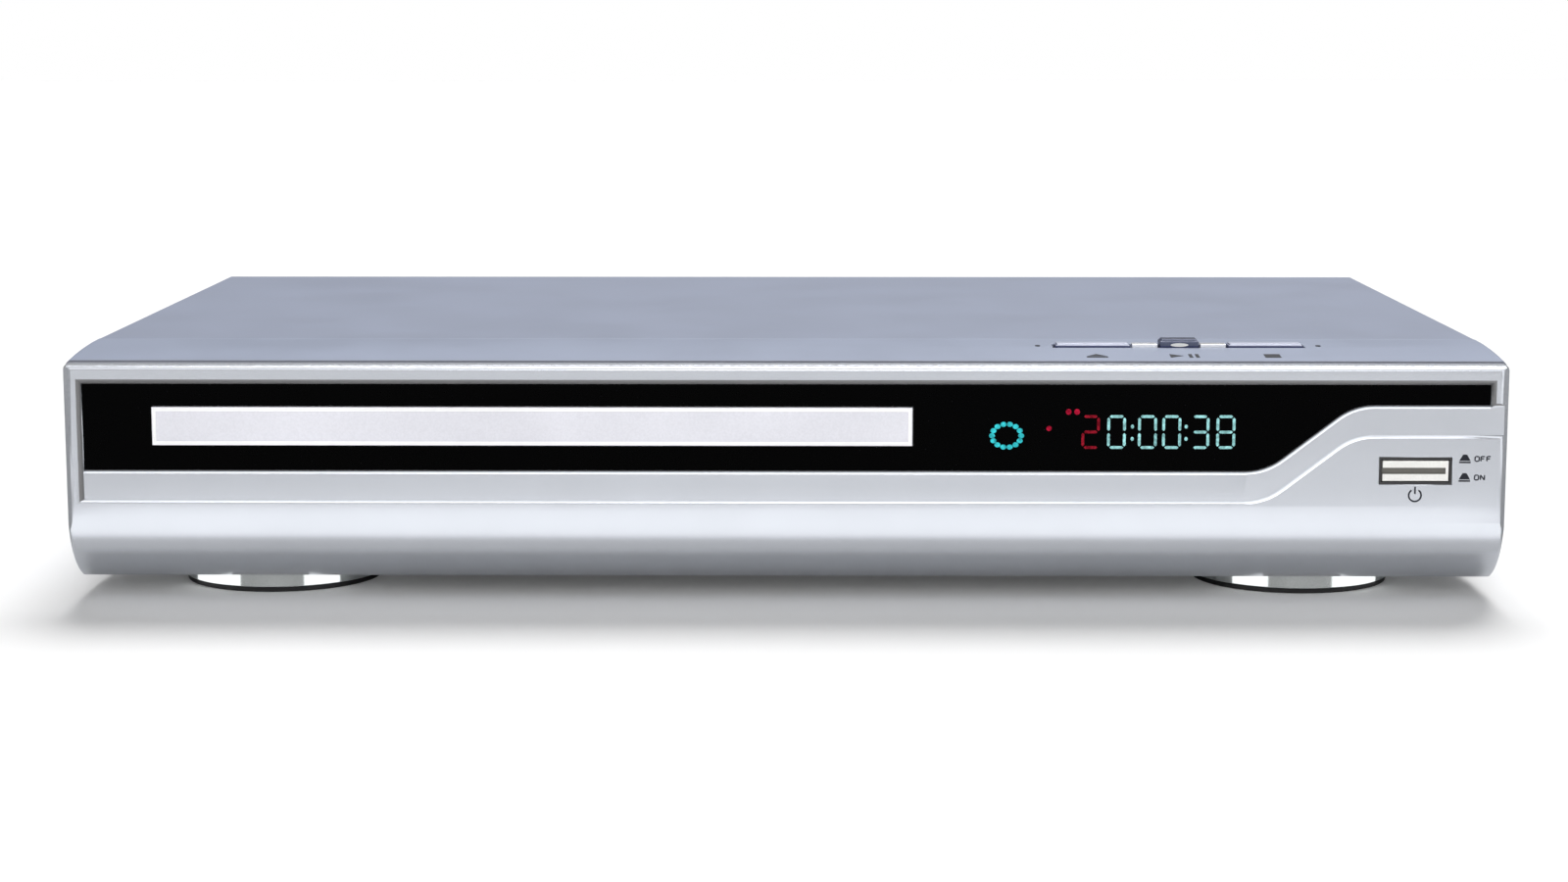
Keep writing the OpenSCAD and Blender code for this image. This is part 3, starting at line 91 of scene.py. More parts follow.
def spread(tree, value, low, high, start=NOISE_LOW, end=NOISE_HIGH):
    """Maps a value from start ... end to low ... high."""
    node = shader_node(tree, "ShaderNodeMapRange", Value=value)
    for name, limit in (("From Min", start), ("From Max", end), ("To Min", low), ("To Max", high)):
        node.inputs[name].default_value = limit
    return node.outputs["Result"]


def noise(tree, place, size, detail):
    """A noise with patches of about that size in mm."""
    node = shader_node(tree, "ShaderNodeTexNoise", Vector=place, Scale=1 / MM / size, Detail=detail)
    return node.outputs["Fac"]


def finish(name, colour, metallic, roughness, specular, patch=0.03, patch_size=30, grain=0.03, grain_size=0.6,
           depth=0.01, stretch=(1, 1, 1), uneven=0.04, glow=0.0):
    """A finish with large faint patches and a fine grain in its colour, gloss and relief.

    patch, grain and uneven say how far the colour and the gloss stray. The sizes and the depth are in mm.
    """
    material = bpy.data.materials.new(name)
    material.use_nodes = True
    tree = material.node_tree
    shader = tree.nodes["Principled BSDF"]
    place = tree.nodes.new("ShaderNodeTexCoord").outputs["Object"]
    lay = shader_node(tree, "ShaderNodeMapping", Vector=place, Scale=stretch).outputs["Vector"]
    broad = noise(tree, place, patch_size, BROAD_DETAIL)
    fine = noise(tree, lay, grain_size, FINE_DETAIL)
    level = worked(tree, "MULTIPLY", spread(tree, broad, 1 - patch, 1 + patch),
                   spread(tree, fine, 1 - grain, 1 + grain))
    tone = shader_node(tree, "ShaderNodeHueSaturation", Color=(*colour, 1), Value=level).outputs["Color"]
    feed(tree, shader.inputs["Base Color"], tone)
    gloss = roughness
    if uneven:
        gloss = worked(tree, "ADD", spread(tree, broad, roughness - uneven, roughness + uneven),
                       spread(tree, fine, -uneven / 2, uneven / 2))
    feed(tree, shader.inputs["Roughness"], gloss)
    if depth:
        relief = shader_node(tree, "ShaderNodeBump", Height=fine, Distance=depth * MM, Strength=1.0)
        feed(tree, shader.inputs["Normal"], relief.outputs["Normal"])
    shader.inputs["Metallic"].default_value = metallic
    shader.inputs["Specular IOR Level"].default_value = specular
    if glow:
        feed(tree, shader.inputs["Emission Color"], tone)
        shader.inputs["Emission Strength"].default_value = glow
    return material


def node_in(material, kind):
    """The first node of a kind in a finish."""
    return next(node for node in material.node_tree.nodes if node.type == kind)


def spangled(material, size, strength):
    """Adds the flat crystals of zinc plating. The size is in mm."""
    tree = material.node_tree
    tone = node_in(material, "HUE_SAT")
    place = node_in(material, "TEX_COORD").outputs["Object"]
    crystals = shader_node(tree, "ShaderNodeTexVoronoi", Vector=place, Scale=1 / MM / size)
    one_each = shader_node(tree, "ShaderNodeSeparateColor", Color=crystals.outputs["Color"]).outputs[0]
    shade = spread(tree, one_each, 1 - strength, 1 + strength, 0, 1)
    level = tone.inputs["Value"].links[0].from_socket
    feed(tree, tone.inputs["Value"], worked(tree, "MULTIPLY", level, shade))


def tracked(material, size, colour):
    """Adds paler copper tracks under a board's lacquer. They run round cells of that size in mm."""
    tree = material.node_tree
    tone = node_in(material, "HUE_SAT")
    place = node_in(material, "TEX_COORD").outputs["Object"]
    cells = shader_node(tree, "ShaderNodeTexVoronoi", Vector=place, Scale=1 / MM / size)
    cells.distance = "MANHATTAN"
    rings = worked(tree, "MULTIPLY", cells.outputs["Distance"], TRACKS_PER_CELL)
    mix = tree.nodes.new("ShaderNodeMix")
    mix.data_type = "RGBA"
    bare, copper = [socket for socket in mix.inputs if socket.type == "RGBA"]
    mixed = next(socket for socket in mix.outputs if socket.type == "RGBA")
    feed(tree, mix.inputs["Factor"], worked(tree, "GREATER_THAN", worked(tree, "FRACT", rings), BARE_SHARE))
    bare.default_value = tone.inputs["Color"].default_value[:]
    copper.default_value = (*colour, 1)
    feed(tree, tone.inputs["Color"], mixed)


# The frame's plain materials go, so that the finishes can have their names.
for plain in list(bpy.data.materials):
    bpy.data.materials.remove(plain)

# Name, colour, metallic, roughness and specular level, and then what strays from an ordinary finish.
cover_paint = finish("cover_paint", (0.246, 0.272, 0.35), 0.15, 0.55, 0.12, grain_size=0.5, depth=0.02)
deck_paint = finish("deck_paint", (0.253, 0.283, 0.365), 0.2, 0.5, 0.12, grain_size=0.4, depth=0.008)
silver_plastic = finish("silver_plastic", (0.5, 0.52, 0.56), 0.75, 0.27, 0.35, patch=0.015, patch_size=20,
                        grain=0.0, depth=0.0, uneven=0.0)
zinc_steel = finish("zinc_steel", (0.55, 0.56, 0.57), 0.85, 0.42, 0.5, patch=0.05, patch_size=14,
                    grain_size=0.5, stretch=(1, 12, 12))
spangled(zinc_steel, 5.0, 0.06)
bright_trim = finish("bright_trim", (0.9, 0.91, 0.94), 0.6, 0.25, 0.5)
smoked_window = finish("smoked_window", (0.0005, 0.0005, 0.0006), 0.0, 0.07, 0.02, uneven=0.01, depth=0.0)
door_plastic = finish("door_plastic", (0.81, 0.81, 0.87), 0.1, 0.38, 0.3, depth=0.002)
key_silver = finish("key_silver", (0.56, 0.59, 0.72), 0.2, 0.3, 0.4, depth=0.002)
key_blue = finish("key_blue", (0.09, 0.105, 0.17), 0.2, 0.25, 0.4, depth=0.002)
power_cap = finish("power_cap", (0.99, 0.985, 0.95), 0.0, 0.3, 0.4)
black_plastic = finish("black_plastic", (0.02, 0.02, 0.022), 0.0, 0.4, 0.4, grain_size=0.3)
foot_chrome = finish("foot_chrome", (0.84, 0.88, 0.88), 1.0, 0.2, 0.5, depth=0.0)
black_rubber = finish("black_rubber", (0.015, 0.015, 0.016), 0.0, 0.75, 0.3)
screw_steel = finish("screw_steel", (0.45, 0.45, 0.46), 0.9, 0.35, 0.5)
circuit_board = finish("circuit_board", (0.02, 0.12, 0.045), 0.0, 0.35, 0.5)
tracked(circuit_board, 4.0, (0.05, 0.26, 0.1))
chip_black = finish("chip_black", (0.02, 0.02, 0.021), 0.0, 0.5, 0.4)
capacitor_sleeve = finish("capacitor_sleeve", (0.015, 0.02, 0.08), 0.0, 0.25, 0.5)
transformer_core = finish("transformer_core", (0.25, 0.2, 0.1), 0.3, 0.5, 0.4)
fuse_glass = finish("fuse_glass", (0.7, 0.7, 0.7), 0.8, 0.15, 0.5)
display_glass = finish("display_glass", (0.02, 0.025, 0.03), 0.0, 0.1, 0.5)
plated_metal = finish("plated_metal", (0.8, 0.78, 0.72), 1.0, 0.2, 0.5)
cable_grey = finish("cable_grey", (0.5, 0.5, 0.5), 0.0, 0.45, 0.4)
cable_red = finish("cable_red", (0.4, 0.03, 0.03), 0.0, 0.45, 0.4)
loader_plastic = finish("loader_plastic", (0.03, 0.03, 0.032), 0.0, 0.5, 0.4)
ivory_plastic = finish("ivory_plastic", (0.72, 0.69, 0.58), 0.0, 0.4, 0.4)
tray_plastic = finish("tray_plastic", (0.035, 0.036, 0.04), 0.0, 0.42, 0.4)
motor_can = finish("motor_can", (0.6, 0.6, 0.6), 0.9, 0.3, 0.5)
turntable_black = finish("turntable_black", (0.02, 0.02, 0.02), 0.0, 0.6, 0.3)
rod_steel = finish("rod_steel", (0.72, 0.72, 0.73), 1.0, 0.15, 0.5)
sled_metal = finish("sled_metal", (0.45, 0.45, 0.46), 0.9, 0.45, 0.5)
lens_glass = finish("lens_glass", (0.3, 0.45, 0.7), 0.2, 0.05, 0.6)

# Painted highlight: a white, faintly glowing colour for the door's border, where its edges would catch light.
door_border = finish("door_border", (1.0, 1.0, 1.0), 0.0, 0.35, 0.5, glow=0.08)
# Painted shade: dark blue for the keys' lowest band and their ends, where shade falls.
key_foot = finish("key_foot", (0.035, 0.045, 0.12), 0.1, 0.35, 0.3)
# Painted shade: dark grey for the deck's near edge, where the seam to the front lies in shade.
deck_seam = finish("deck_seam", (0.19, 0.2, 0.24), 0.0, 0.5, 0.1)
# Painted shade: dark grey for the slopes of the window's opening that face down or sideways.
opening_edge = finish("opening_edge", (0.2, 0.2, 0.205), 0.0, 0.35, 0.3)
# Painted shade: dark grey for the walls of the power button's recessed groove.
groove_grey = finish("groove_grey", (0.16, 0.155, 0.14), 0.0, 0.5, 0.2)
print_dark = finish("print_dark", (0.012, 0.014, 0.022), 0.0, 0.5, 0.15)
lit_cyan = finish("lit_cyan", (0.25, 0.52, 0.52), 0.0, 0.4, 0.0, patch=0.5, patch_size=1.5, glow=0.35)
lit_ring = finish("lit_ring", (0.03, 0.4, 0.44), 0.0, 0.4, 0.0, patch=0.5, patch_size=1.5, glow=0.4)
lit_red = finish("lit_red", (0.34, 0.008, 0.03), 0.0, 0.4, 0.0, patch=0.5, patch_size=1.5, glow=0.3)
dim_red = finish("dim_red", (0.22, 0.008, 0.018), 0.0, 0.4, 0.0, patch=0.6, patch_size=1.2, glow=0.22)
finishes = {material.name: material for material in bpy.data.materials}

for name, thing in nodes.items():
    thing.data.materials.clear()
    thing.data.materials.append(finishes[slots[name]])

# ---------------------------------------------------------------- making pieces

SAME_POINT = 0.001
SAME_LEVEL = 0.02
FLAT_ANGLE = 0.2
SHARP_ANGLE = 30


def copied(node):
    """A working copy of a node's mesh with doubled points merged and split flat faces joined."""
    shape = bmesh.new()
    shape.from_mesh(nodes[node].data)
    bmesh.ops.remove_doubles(shape, verts=shape.verts[:], dist=SAME_POINT * MM)
    bmesh.ops.dissolve_limit(shape, angle_limit=radians(FLAT_ANGLE), verts=shape.verts[:],
                             edges=shape.edges[:])
    return shape


def close(value, wanted):
    """Whether two places in mm are the same."""
    return abs(value - wanted) < SAME_LEVEL


def corners(shape, test=None, angle=SHARP_ANGLE):
    """The edges where two faces meet at more than that angle and whose ends, in mm, both pass the test."""
    found = []
    for edge in shape.edges:
        if len(edge.link_faces) == 2 and edge.calc_face_angle(0) > radians(angle):
            if test is None or all(test(vert.co / MM) for vert in edge.verts):
                found.append(edge)
    return found


def rounded(shape, edges, radius, segments=2, clamp=False):
    """Rounds edges off and returns the new faces. The radius is in mm, and one segment makes a chamfer."""
    made = bmesh.ops.bevel(shape, geom=edges, offset=radius * MM, offset_type="OFFSET", segments=segments,
                           profile=0.5, affect="EDGES", clamp_overlap=clamp, material=-1)
    return made["faces"]


def body_of(node):
    """The body that a node rides on."""
    return next(body for body, members in bodies.items() if node in members)


def piece(name, shape, paints, body, *replaced):
    """Makes a finished shape a named piece that rides on a body and stands for those nodes."""
    mesh = bpy.data.meshes.new(name)
    shape.to_mesh(mesh)
    shape.free()
    for paint in paints:
        mesh.materials.append(paint)
    mesh.shade_smooth()
    mesh.set_sharp_from_angle(angle=radians(SHARP_ANGLE))
    thing = bpy.data.objects.new(name, mesh)
    bpy.context.scene.collection.objects.link(thing)
    even = thing.modifiers.new("even_shading", "WEIGHTED_NORMAL")
    even.keep_sharp = True
    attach(thing, body)
    if replaced:
        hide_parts(*replaced)


def plate(shape, outline, surface, rise):
    """Adds a thin plate. surface turns an outline's (a, b) into a place in mm, and rise is its thickness."""
    base = shape.faces.new([shape.verts.new(surface(a, b) * MM) for a, b in outline])
    raised = bmesh.ops.extrude_face_region(shape, geom=[base])["geom"]
    top = [part for part in raised if isinstance(part, bmesh.types.BMVert)]
    bmesh.ops.translate(shape, vec=rise * MM, verts=top)
    bmesh.ops.recalc_face_normals(shape, faces=shape.faces[:])


def bar(a0, b0, a1, b1, width, gap=0.0):
    """The outline of a straight stroke with pointed ends, which stop short of the two places by a gap."""
    start, end = Vector((a0, b0)), Vector((a1, b1))
    along = (end - start).normalized()
    start, end = start + along * gap, end - along * gap
    tip = along * width / 2
    left = tip.orthogonal()
    return [start, start + tip - left, end - tip - left, end, end - tip + left, start + tip + left]


def oval(a, b, ra, rb, count):
    """The outline of an ellipse, as that many points."""
    turns = [2 * pi * k / count for k in range(count)]
    return [(a + ra * cos(turn), b + rb * sin(turn)) for turn in turns]


def block(a0, b0, a1, b1):
    """The outline of a rectangle."""
    return [(a0, b0), (a1, b0), (a1, b1), (a0, b1)]


# ---------------------------------------------------------------- front

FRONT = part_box("front_panel")[0].y / MM
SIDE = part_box("front_panel")[1].x / MM
DECK_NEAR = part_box("button_deck")[0].y / MM
POCKET_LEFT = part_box("power_bezel")[0].x / MM
POCKET_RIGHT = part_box("power_bezel")[1].x / MM
POCKET_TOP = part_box("power_bezel")[1].z / MM
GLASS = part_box("display_window")[0].y / MM
GLASS_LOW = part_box("display_window")[0].z / MM
GLASS_GAP = 0.1
OPENING_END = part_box("display_window")[1].x / MM + GLASS_GAP
OPENING_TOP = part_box("display_window")[1].z / MM + GLASS_GAP

# The front's flat face lies between a chin and a rounded strip. Below the window it steps back to a shelf.
FACE_LOW = 31.0
FACE_TOP = 71.4
SHELF = -131.2
BEND_START = 138.0
BEND_TOP = 60.0

# Behind the glass the front is black, this far beyond the glass and up to this far from the sides.
BLACK_Y = -129.5
BLACK_BELOW = 2.3
BLACK_ABOVE = 1.2
BLACK_SHORT = 4.0

OPENING_CHAMFER = 0.7
OPENING_FLARE = 0.65
BEND_WIDENING = 1.7
SILL_CHAMFER = 0.6
SILL_WIDENING = 1.8
POCKET_ROUND = 0.3
FLANK_ROUND = 1.2
FLANK_END = -100.0

# Each facet starts that far in from the side and turns that many degrees from the front.
FACETS = ((2.1, 45.0), (2.85, 22.5))

# The strip above the flat face sinks below the deck, so that the deck's near edge shows. The drop grows over
# the run.
STRIP_DROP = 0.5
STRIP_RUN = 1.2
FLAT = 0.999

GLASS_ROUND = 0.15
DOOR_ROUND = 0.25
DOOR_BORDER = 1.0
DOOR_SLOPE = 0.15
DOOR_SUNK = 0.12


def border(shape, level, wanted, angle=40):
    """Outward corners in the plane y = level whose other face is a wanted one.

    wanted gets the other face's normal and the edge's middle in mm.
    """
    found = []
    for edge in shape.edges:
        if len(edge.link_faces) != 2 or not edge.is_convex or edge.calc_face_angle(0) < radians(angle):
            continue
        if all(close(vert.co.y / MM, level) for vert in edge.verts):
            others = [face.normal for face in edge.link_faces if face.normal.y > -0.7]
            middle = (edge.verts[0].co + edge.verts[1].co) / 2 / MM
            if len(others) == 1 and wanted(others[0], middle):
                found.append(edge)
    return found


def widened(faces, level, factor, where):
    """Moves a chamfer's ends in the plane y = level outwards, to factor times its width, if where says so."""
    shifts = {}
    for face in faces:
        for edge in face.edges:
            high, deep = sorted(edge.verts, key=lambda vert: vert.co.y)
            if close(high.co.y / MM, level) and not close(deep.co.y / MM, level) and where(high.co / MM):
                shifts[high] = (high.co - deep.co) * (factor - 1)
    for vert, shift in shifts.items():
        vert.co.x += shift.x
        vert.co.z += shift.z


def split_front(shape, across):
    """Cuts the front plane along x = across and drops the slanted cuts that its power pocket left there."""
    plane = {face for face in shape.faces
             if face.normal.y < -FLAT and close(face.calc_center_median().y / MM, FRONT)}
    parts = [part for part in shape.verts[:] + shape.edges[:] if plane.intersection(part.link_faces)]
    parts += [face for face in shape.faces if face in plane]
    bmesh.ops.bisect_plane(shape, geom=parts, plane_co=(across * MM, 0, 0), plane_no=(1, 0, 0))
    slanted = []
    for edge in shape.edges:
        reach = (edge.verts[0].co - edge.verts[1].co) / MM
        flat = len(edge.link_faces) == 2 and all(face.normal.y < -FLAT for face in edge.link_faces)
        if flat and close(edge.verts[0].co.y / MM, FRONT) and min(abs(reach.x), abs(reach.z)) > 1:
            slanted.append(edge)
    bmesh.ops.dissolve_edges(shape, edges=slanted, use_verts=False)


def sink_strip(shape):
    """Lowers the strip above the front's flat face."""
    for vert in shape.verts:
        place = vert.co / MM
        if place.z > FACE_TOP and place.y < DECK_NEAR + SAME_LEVEL:
            vert.co.z -= STRIP_DROP * min(1, (place.z - FACE_TOP) / STRIP_RUN) * MM


def chamfer_opening(shape, opening):
    """Slopes the edges of the window's opening, wider at its top, at its ends and along its bend."""
    sill = rounded(shape, border(shape, SHELF, lambda n, p: n.z > 0.5), SILL_CHAMFER, 1)
    widened(sill, SHELF, SILL_WIDENING, lambda p: True)
    slopes = rounded(shape, opening, OPENING_CHAMFER, 1)
    # Slopes that face down or sideways get painted shade.
    for face in slopes:
        dim = face.normal.z < -0.5 or abs(face.normal.x) > 0.69
        face.material_index = 2 if dim else 0
    widened(slopes, FRONT, BEND_WIDENING, lambda p: p.x > BEND_START and p.z < BEND_TOP)
    for vert in shape.verts:
        place = vert.co / MM
        at_top = close(place.z, OPENING_TOP + OPENING_CHAMFER)
        at_end = close(abs(place.x), OPENING_END + OPENING_CHAMFER) and place.z > FACE_LOW
        if close(place.y, FRONT) and at_top:
            vert.co.z += OPENING_FLARE * MM
        if close(place.y, FRONT) and at_end:
            vert.co.x += (OPENING_FLARE if place.x > 0 else -OPENING_FLARE) * MM


def round_flanks(shape):
    """Rounds the front's outer corners at both flanks."""
    found = []
    for edge in corners(shape, lambda p: close(abs(p.x), SIDE) and p.y < FLANK_END, 20):
        beside = any(abs(face.normal.x) > 0.9 for face in edge.link_faces)
        before = any(face.normal.y < -0.05 or abs(face.normal.z) > 0.5 for face in edge.link_faces)
        if edge.is_convex and beside and before:
            found.append(edge)
    rounded(shape, found, FLANK_ROUND, 3)


def faceted(shape, side, reach, turn):
    """Cuts a flat facet down a flank."""
    cut = bmesh.ops.bisect_plane(shape, geom=shape.verts[:] + shape.edges[:] + shape.faces[:],
                                 plane_co=Vector((side * (SIDE - reach), FRONT, 0)) * MM,
                                 plane_no=(side * sin(radians(turn)), -cos(radians(turn)), 0),
                                 clear_outer=True)
    rim = [part for part in cut["geom_cut"] if isinstance(part, bmesh.types.BMEdge)]
    bmesh.ops.edgeloop_fill(shape, edges=rim, mat_nr=0, use_smooth=False)


def blacken_inside(shape):
    """Paints the front black behind the window, so that no silver shines through."""
    for face in shape.faces:
        middle = face.calc_center_median() / MM
        within = GLASS_LOW - BLACK_BELOW < middle.z < OPENING_TOP + BLACK_ABOVE
        if middle.y > BLACK_Y and abs(middle.x) < SIDE - BLACK_SHORT and within:
            face.material_index = 1


def make_front():
    """The lacquered front with sloped window edges, a stepped shelf and faceted flanks."""
    shape = copied("front_panel")
    split_front(shape, (POCKET_LEFT + POCKET_RIGHT) / 2)
    pocket = border(shape, FRONT, lambda n, p: p.z < POCKET_TOP and POCKET_LEFT < p.x < POCKET_RIGHT)
    rest = border(shape, FRONT, lambda n, p: FACE_LOW + 1 < p.z < FACE_TOP - 1 and abs(p.x) < SIDE - 1)
    opening = [edge for edge in rest if edge not in pocket]
    sink_strip(shape)
    chamfer_opening(shape, opening)
    rounded(shape, [edge for edge in pocket if edge.is_valid], POCKET_ROUND)
    round_flanks(shape)
    for side in (-1, 1):
        for reach, turn in FACETS:
            faceted(shape, side, reach, turn)
    bmesh.ops.recalc_face_normals(shape, faces=shape.faces[:])
    blacken_inside(shape)
    piece("front_shell", shape, [silver_plastic, black_plastic, opening_edge], "casing", "front_panel")


def make_window():
    """The smoked window with a fine edge."""
    shape = copied("display_window")
    rounded(shape, corners(shape), GLASS_ROUND)
    piece("window_glass", shape, [smoked_window], "casing", "display_window")


def make_door():
    """The tray's pale front with a painted highlight on the border round a slightly sunken field, which also
    glows faintly.
    """
    shape = copied("tray_door")
    rounded(shape, corners(shape), DOOR_ROUND)
    field = [face for face in shape.faces if face.normal.y < -0.99]
    inset = bmesh.ops.inset_region(shape, faces=field, thickness=DOOR_BORDER * MM, use_even_offset=True)
    # The border round the field gets the painted highlight.
    for face in inset["faces"]:
        face.material_index = 1
    bmesh.ops.inset_region(shape, faces=field, thickness=DOOR_SLOPE * MM, depth=-DOOR_SUNK * MM,
                           use_even_offset=True)
    piece("door_face", shape, [door_plastic, door_border], "tray", "tray_door")


# ---------------------------------------------------------------- lit display

LIT = Vector((0, -0.03, 0))
FIGURE_LOW = 48.3
FIGURE_HIGH = 9.3
FIGURE_STROKE = 0.85
FIGURE_GAP = 0.3
SEGMENTS = {"0": "abcdef", "2": "abged", "3": "abgcd", "8": "abcdefg"}

# Figure, middle and width.
TIME = (("0", 98.7, 4.7), ("0", 107.9, 4.8), ("0", 115.1, 4.8), ("3", 123.6, 4.6), ("8", 131.2, 4.8))
TRACK = ("2", 91.0, 4.6)
COLONS = (103.4, 119.4)
COLON_ROWS = (FIGURE_LOW + 2.6, FIGURE_LOW + 6.3)
DISC_MARK = (78.6, 54.0)
TRACK_MARKS = ((84.4, 59.0), (86.9, 59.0))
RING = (66.0, 51.8)

# Half width, half height and number of points.
COLON_DOT = (0.5, 0.6, 10)
DISC_DOT = (0.8, 0.8, 12)
TRACK_DOT = (0.85, 0.9, 12)
BEAD = (0.92, 0.78, 10)
RING_OF_BEADS = (4.35, 3.5, 14)


def on_glass(a, b):
    """A point on the window. a is across and b is up."""
    return Vector((a, GLASS, b))


def figure(shape, sign, middle, wide):
    """A seven-segment figure with dark gaps between its segments."""
    left, right = middle - wide / 2, middle + wide / 2
    low, centre, high = FIGURE_LOW, FIGURE_LOW + FIGURE_HIGH / 2, FIGURE_LOW + FIGURE_HIGH
    lines = {"a": (left, high, right, high), "b": (right, high, right, centre),
             "c": (right, centre, right, low), "d": (left, low, right, low), "e": (left, centre, left, low),
             "f": (left, high, left, centre), "g": (left, centre, right, centre)}
    for segment in SEGMENTS[sign]:
        plate(shape, bar(*lines[segment], FIGURE_STROKE, FIGURE_GAP), on_glass, LIT)


def make_display():
    """The lit figures, the ring of beads that stands for the disc, and the red marks."""
    time = bmesh.new()
    for sign, middle, wide in TIME:
        figure(time, sign, middle, wide)
    for a in COLONS:
        for b in COLON_ROWS:
            plate(time, oval(a, b, *COLON_DOT), on_glass, LIT)
    piece("display_time", time, [lit_cyan], "casing")
    track = bmesh.new()
    figure(track, *TRACK)
    piece("display_track", track, [dim_red], "casing")
    marks = bmesh.new()
    plate(marks, oval(*DISC_MARK, *DISC_DOT), on_glass, LIT)
    for a, b in TRACK_MARKS:
        plate(marks, oval(a, b, *TRACK_DOT), on_glass, LIT)
    piece("display_marks", marks, [lit_red], "casing")
    ring = bmesh.new()
    for a, b in oval(*RING, *RING_OF_BEADS):
        plate(ring, oval(a, b, *BEAD), on_glass, LIT)
    piece("display_ring", ring, [lit_ring], "casing")


# ---------------------------------------------------------------- deck and keys

ARCH_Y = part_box("button_deck")[1].y / MM
ARCH_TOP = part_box("button_deck")[1].z / MM
ARCH_R = 324.17
DECK_FLANK_ROUND = 1.6
DECK_ROUND = 0.3
SHADED_SEAM_DEEP = 0.35
DECK_INK = Vector((0, 0, 0.045))
DOT_INK = DECK_INK * 3

# The signs lie in front of the keys, between these two places, and the dots beside the keys.
SIGN_NEAR = -121.8
SIGN_FAR = -117.0
EJECT = 93.6
EJECT_HALF = 3.2
EJECT_BAR = 0.9
EJECT_ARROW = 1.6
PLAY = 120.0
PLAY_BACK = -4.4
PLAY_TIP = -0.4
PAUSE_BARS = (1.2, 3.2)
PAUSE_WIDE = 1.1
STOP = 146.3
STOP_HALF = 2.4
DOTS = ((77.0, -103.5), (162.6, -103.5))
DOT = (0.8, 1.2, 16)

KEYS = (("open_close_button", "eject_key", key_silver), ("stop_button", "stop_key", key_silver),
        ("play_pause_button", "play_key", key_blue))
KEY_ROUND = 0.32
KEY_SHADE_HEIGHT = 0.5
# A painted highlight, an oval in the power cap's cream, sits low on the front of the play key.
KEY_HIGHLIGHT_OVAL = (2.7, 0.55, 24)
KEY_HIGHLIGHT_RAISED = 0.75
KEY_HIGHLIGHT_LIFT = Vector((0, -0.03, 0))
RAIL_ROUND = 0.12


def arch(y):
    """Height of the deck's arched top."""
    return ARCH_TOP - ARCH_R + sqrt(ARCH_R ** 2 - (y - ARCH_Y) ** 2)


def on_deck(a, b):
    """A point on the deck. a is across and b is towards the back."""
    return Vector((a, b, arch(b)))


def make_deck():
    """The arched deck with softened edges and painted shade along its near edge, at the seam."""
    shape = copied("button_deck")
    ends = corners(shape, lambda p: p.z > arch(p.y) - 0.1 and close(abs(p.x), SIDE))
    ends = [edge for edge in ends if abs(edge.verts[0].co.y - edge.verts[1].co.y) > MM]
    rounded(shape, ends, DECK_FLANK_ROUND, 4)
    rounded(shape, corners(shape, lambda p: p.z > arch(p.y) - 0.1 and abs(p.x) < SIDE - 1), DECK_ROUND)
    near = min(vert.co.y for vert in shape.verts) / MM
    # Faces along the near edge get painted shade.
    for face in shape.faces:
        face.material_index = 1 if face.calc_center_median().y / MM < near + SHADED_SEAM_DEEP else 0
    piece("arched_deck", shape, [deck_paint, deck_seam], "casing", "button_deck")


def make_deck_signs():
    """The printed signs of the three keys and two locating dots."""
    signs = bmesh.new()
    arrow_low = SIGN_NEAR + EJECT_ARROW
    back, tip = PLAY + PLAY_BACK, PLAY + PLAY_TIP
    outlines = [
        [(EJECT - EJECT_HALF, arrow_low), (EJECT + EJECT_HALF, arrow_low), (EJECT, SIGN_FAR)],
        block(EJECT - EJECT_HALF, SIGN_NEAR, EJECT + EJECT_HALF, SIGN_NEAR + EJECT_BAR),
        [(back, SIGN_NEAR), (tip, (SIGN_NEAR + SIGN_FAR) / 2), (back, SIGN_FAR)],
        *[block(PLAY + a, SIGN_NEAR, PLAY + a + PAUSE_WIDE, SIGN_FAR) for a in PAUSE_BARS],
        block(STOP - STOP_HALF, SIGN_NEAR, STOP + STOP_HALF, SIGN_FAR),
    ]
    for outline in outlines:
        plate(signs, outline, on_deck, DECK_INK)
    piece("key_signs", signs, [print_dark], "casing")
    dots = bmesh.new()
    for a, b in DOTS:
        plate(dots, oval(a, b, *DOT), on_deck, DOT_INK)
    piece("deck_dots", dots, [print_dark], "casing")


def make_keys():
    """The three keys with painted shade on their feet and ends, a painted highlight on the middle one and the
    bright rails between them.
    """
    for node, name, paint in KEYS:
        shape = copied(node)
        rounded(shape, corners(shape), KEY_ROUND, 3)
        shade_top = arch(min(vert.co.y for vert in shape.verts) / MM) + KEY_SHADE_HEIGHT
        bmesh.ops.bisect_plane(shape, geom=shape.verts[:] + shape.edges[:] + shape.faces[:],
                               plane_co=(0, 0, shade_top * MM), plane_no=(0, 0, 1))
        # The band just above the deck and the ends of each key get painted shade.
        for face in shape.faces:
            in_shade = face.calc_center_median().z / MM < shade_top
            face.material_index = 1 if in_shade or abs(face.normal.x) > 0.8 else 0
        piece(name, shape, [paint, key_foot], body_of(node), node)
    # Painted highlight on the play key's front.
    key_highlight = bmesh.new()
    low, high = (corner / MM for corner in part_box("play_pause_button"))
    outline = oval((low.x + high.x) / 2, arch(low.y) + KEY_HIGHLIGHT_RAISED, *KEY_HIGHLIGHT_OVAL)
    plate(key_highlight, outline, lambda a, b: Vector((a, low.y, b)), KEY_HIGHLIGHT_LIFT)
    piece("play_key_painted_highlight", key_highlight, [power_cap], body_of("play_pause_button"))
    shape = copied("button_rails")
    rounded(shape, corners(shape), RAIL_ROUND)
    piece("key_rails", shape, [bright_trim], "casing", "button_rails")


# ---------------------------------------------------------------- power button

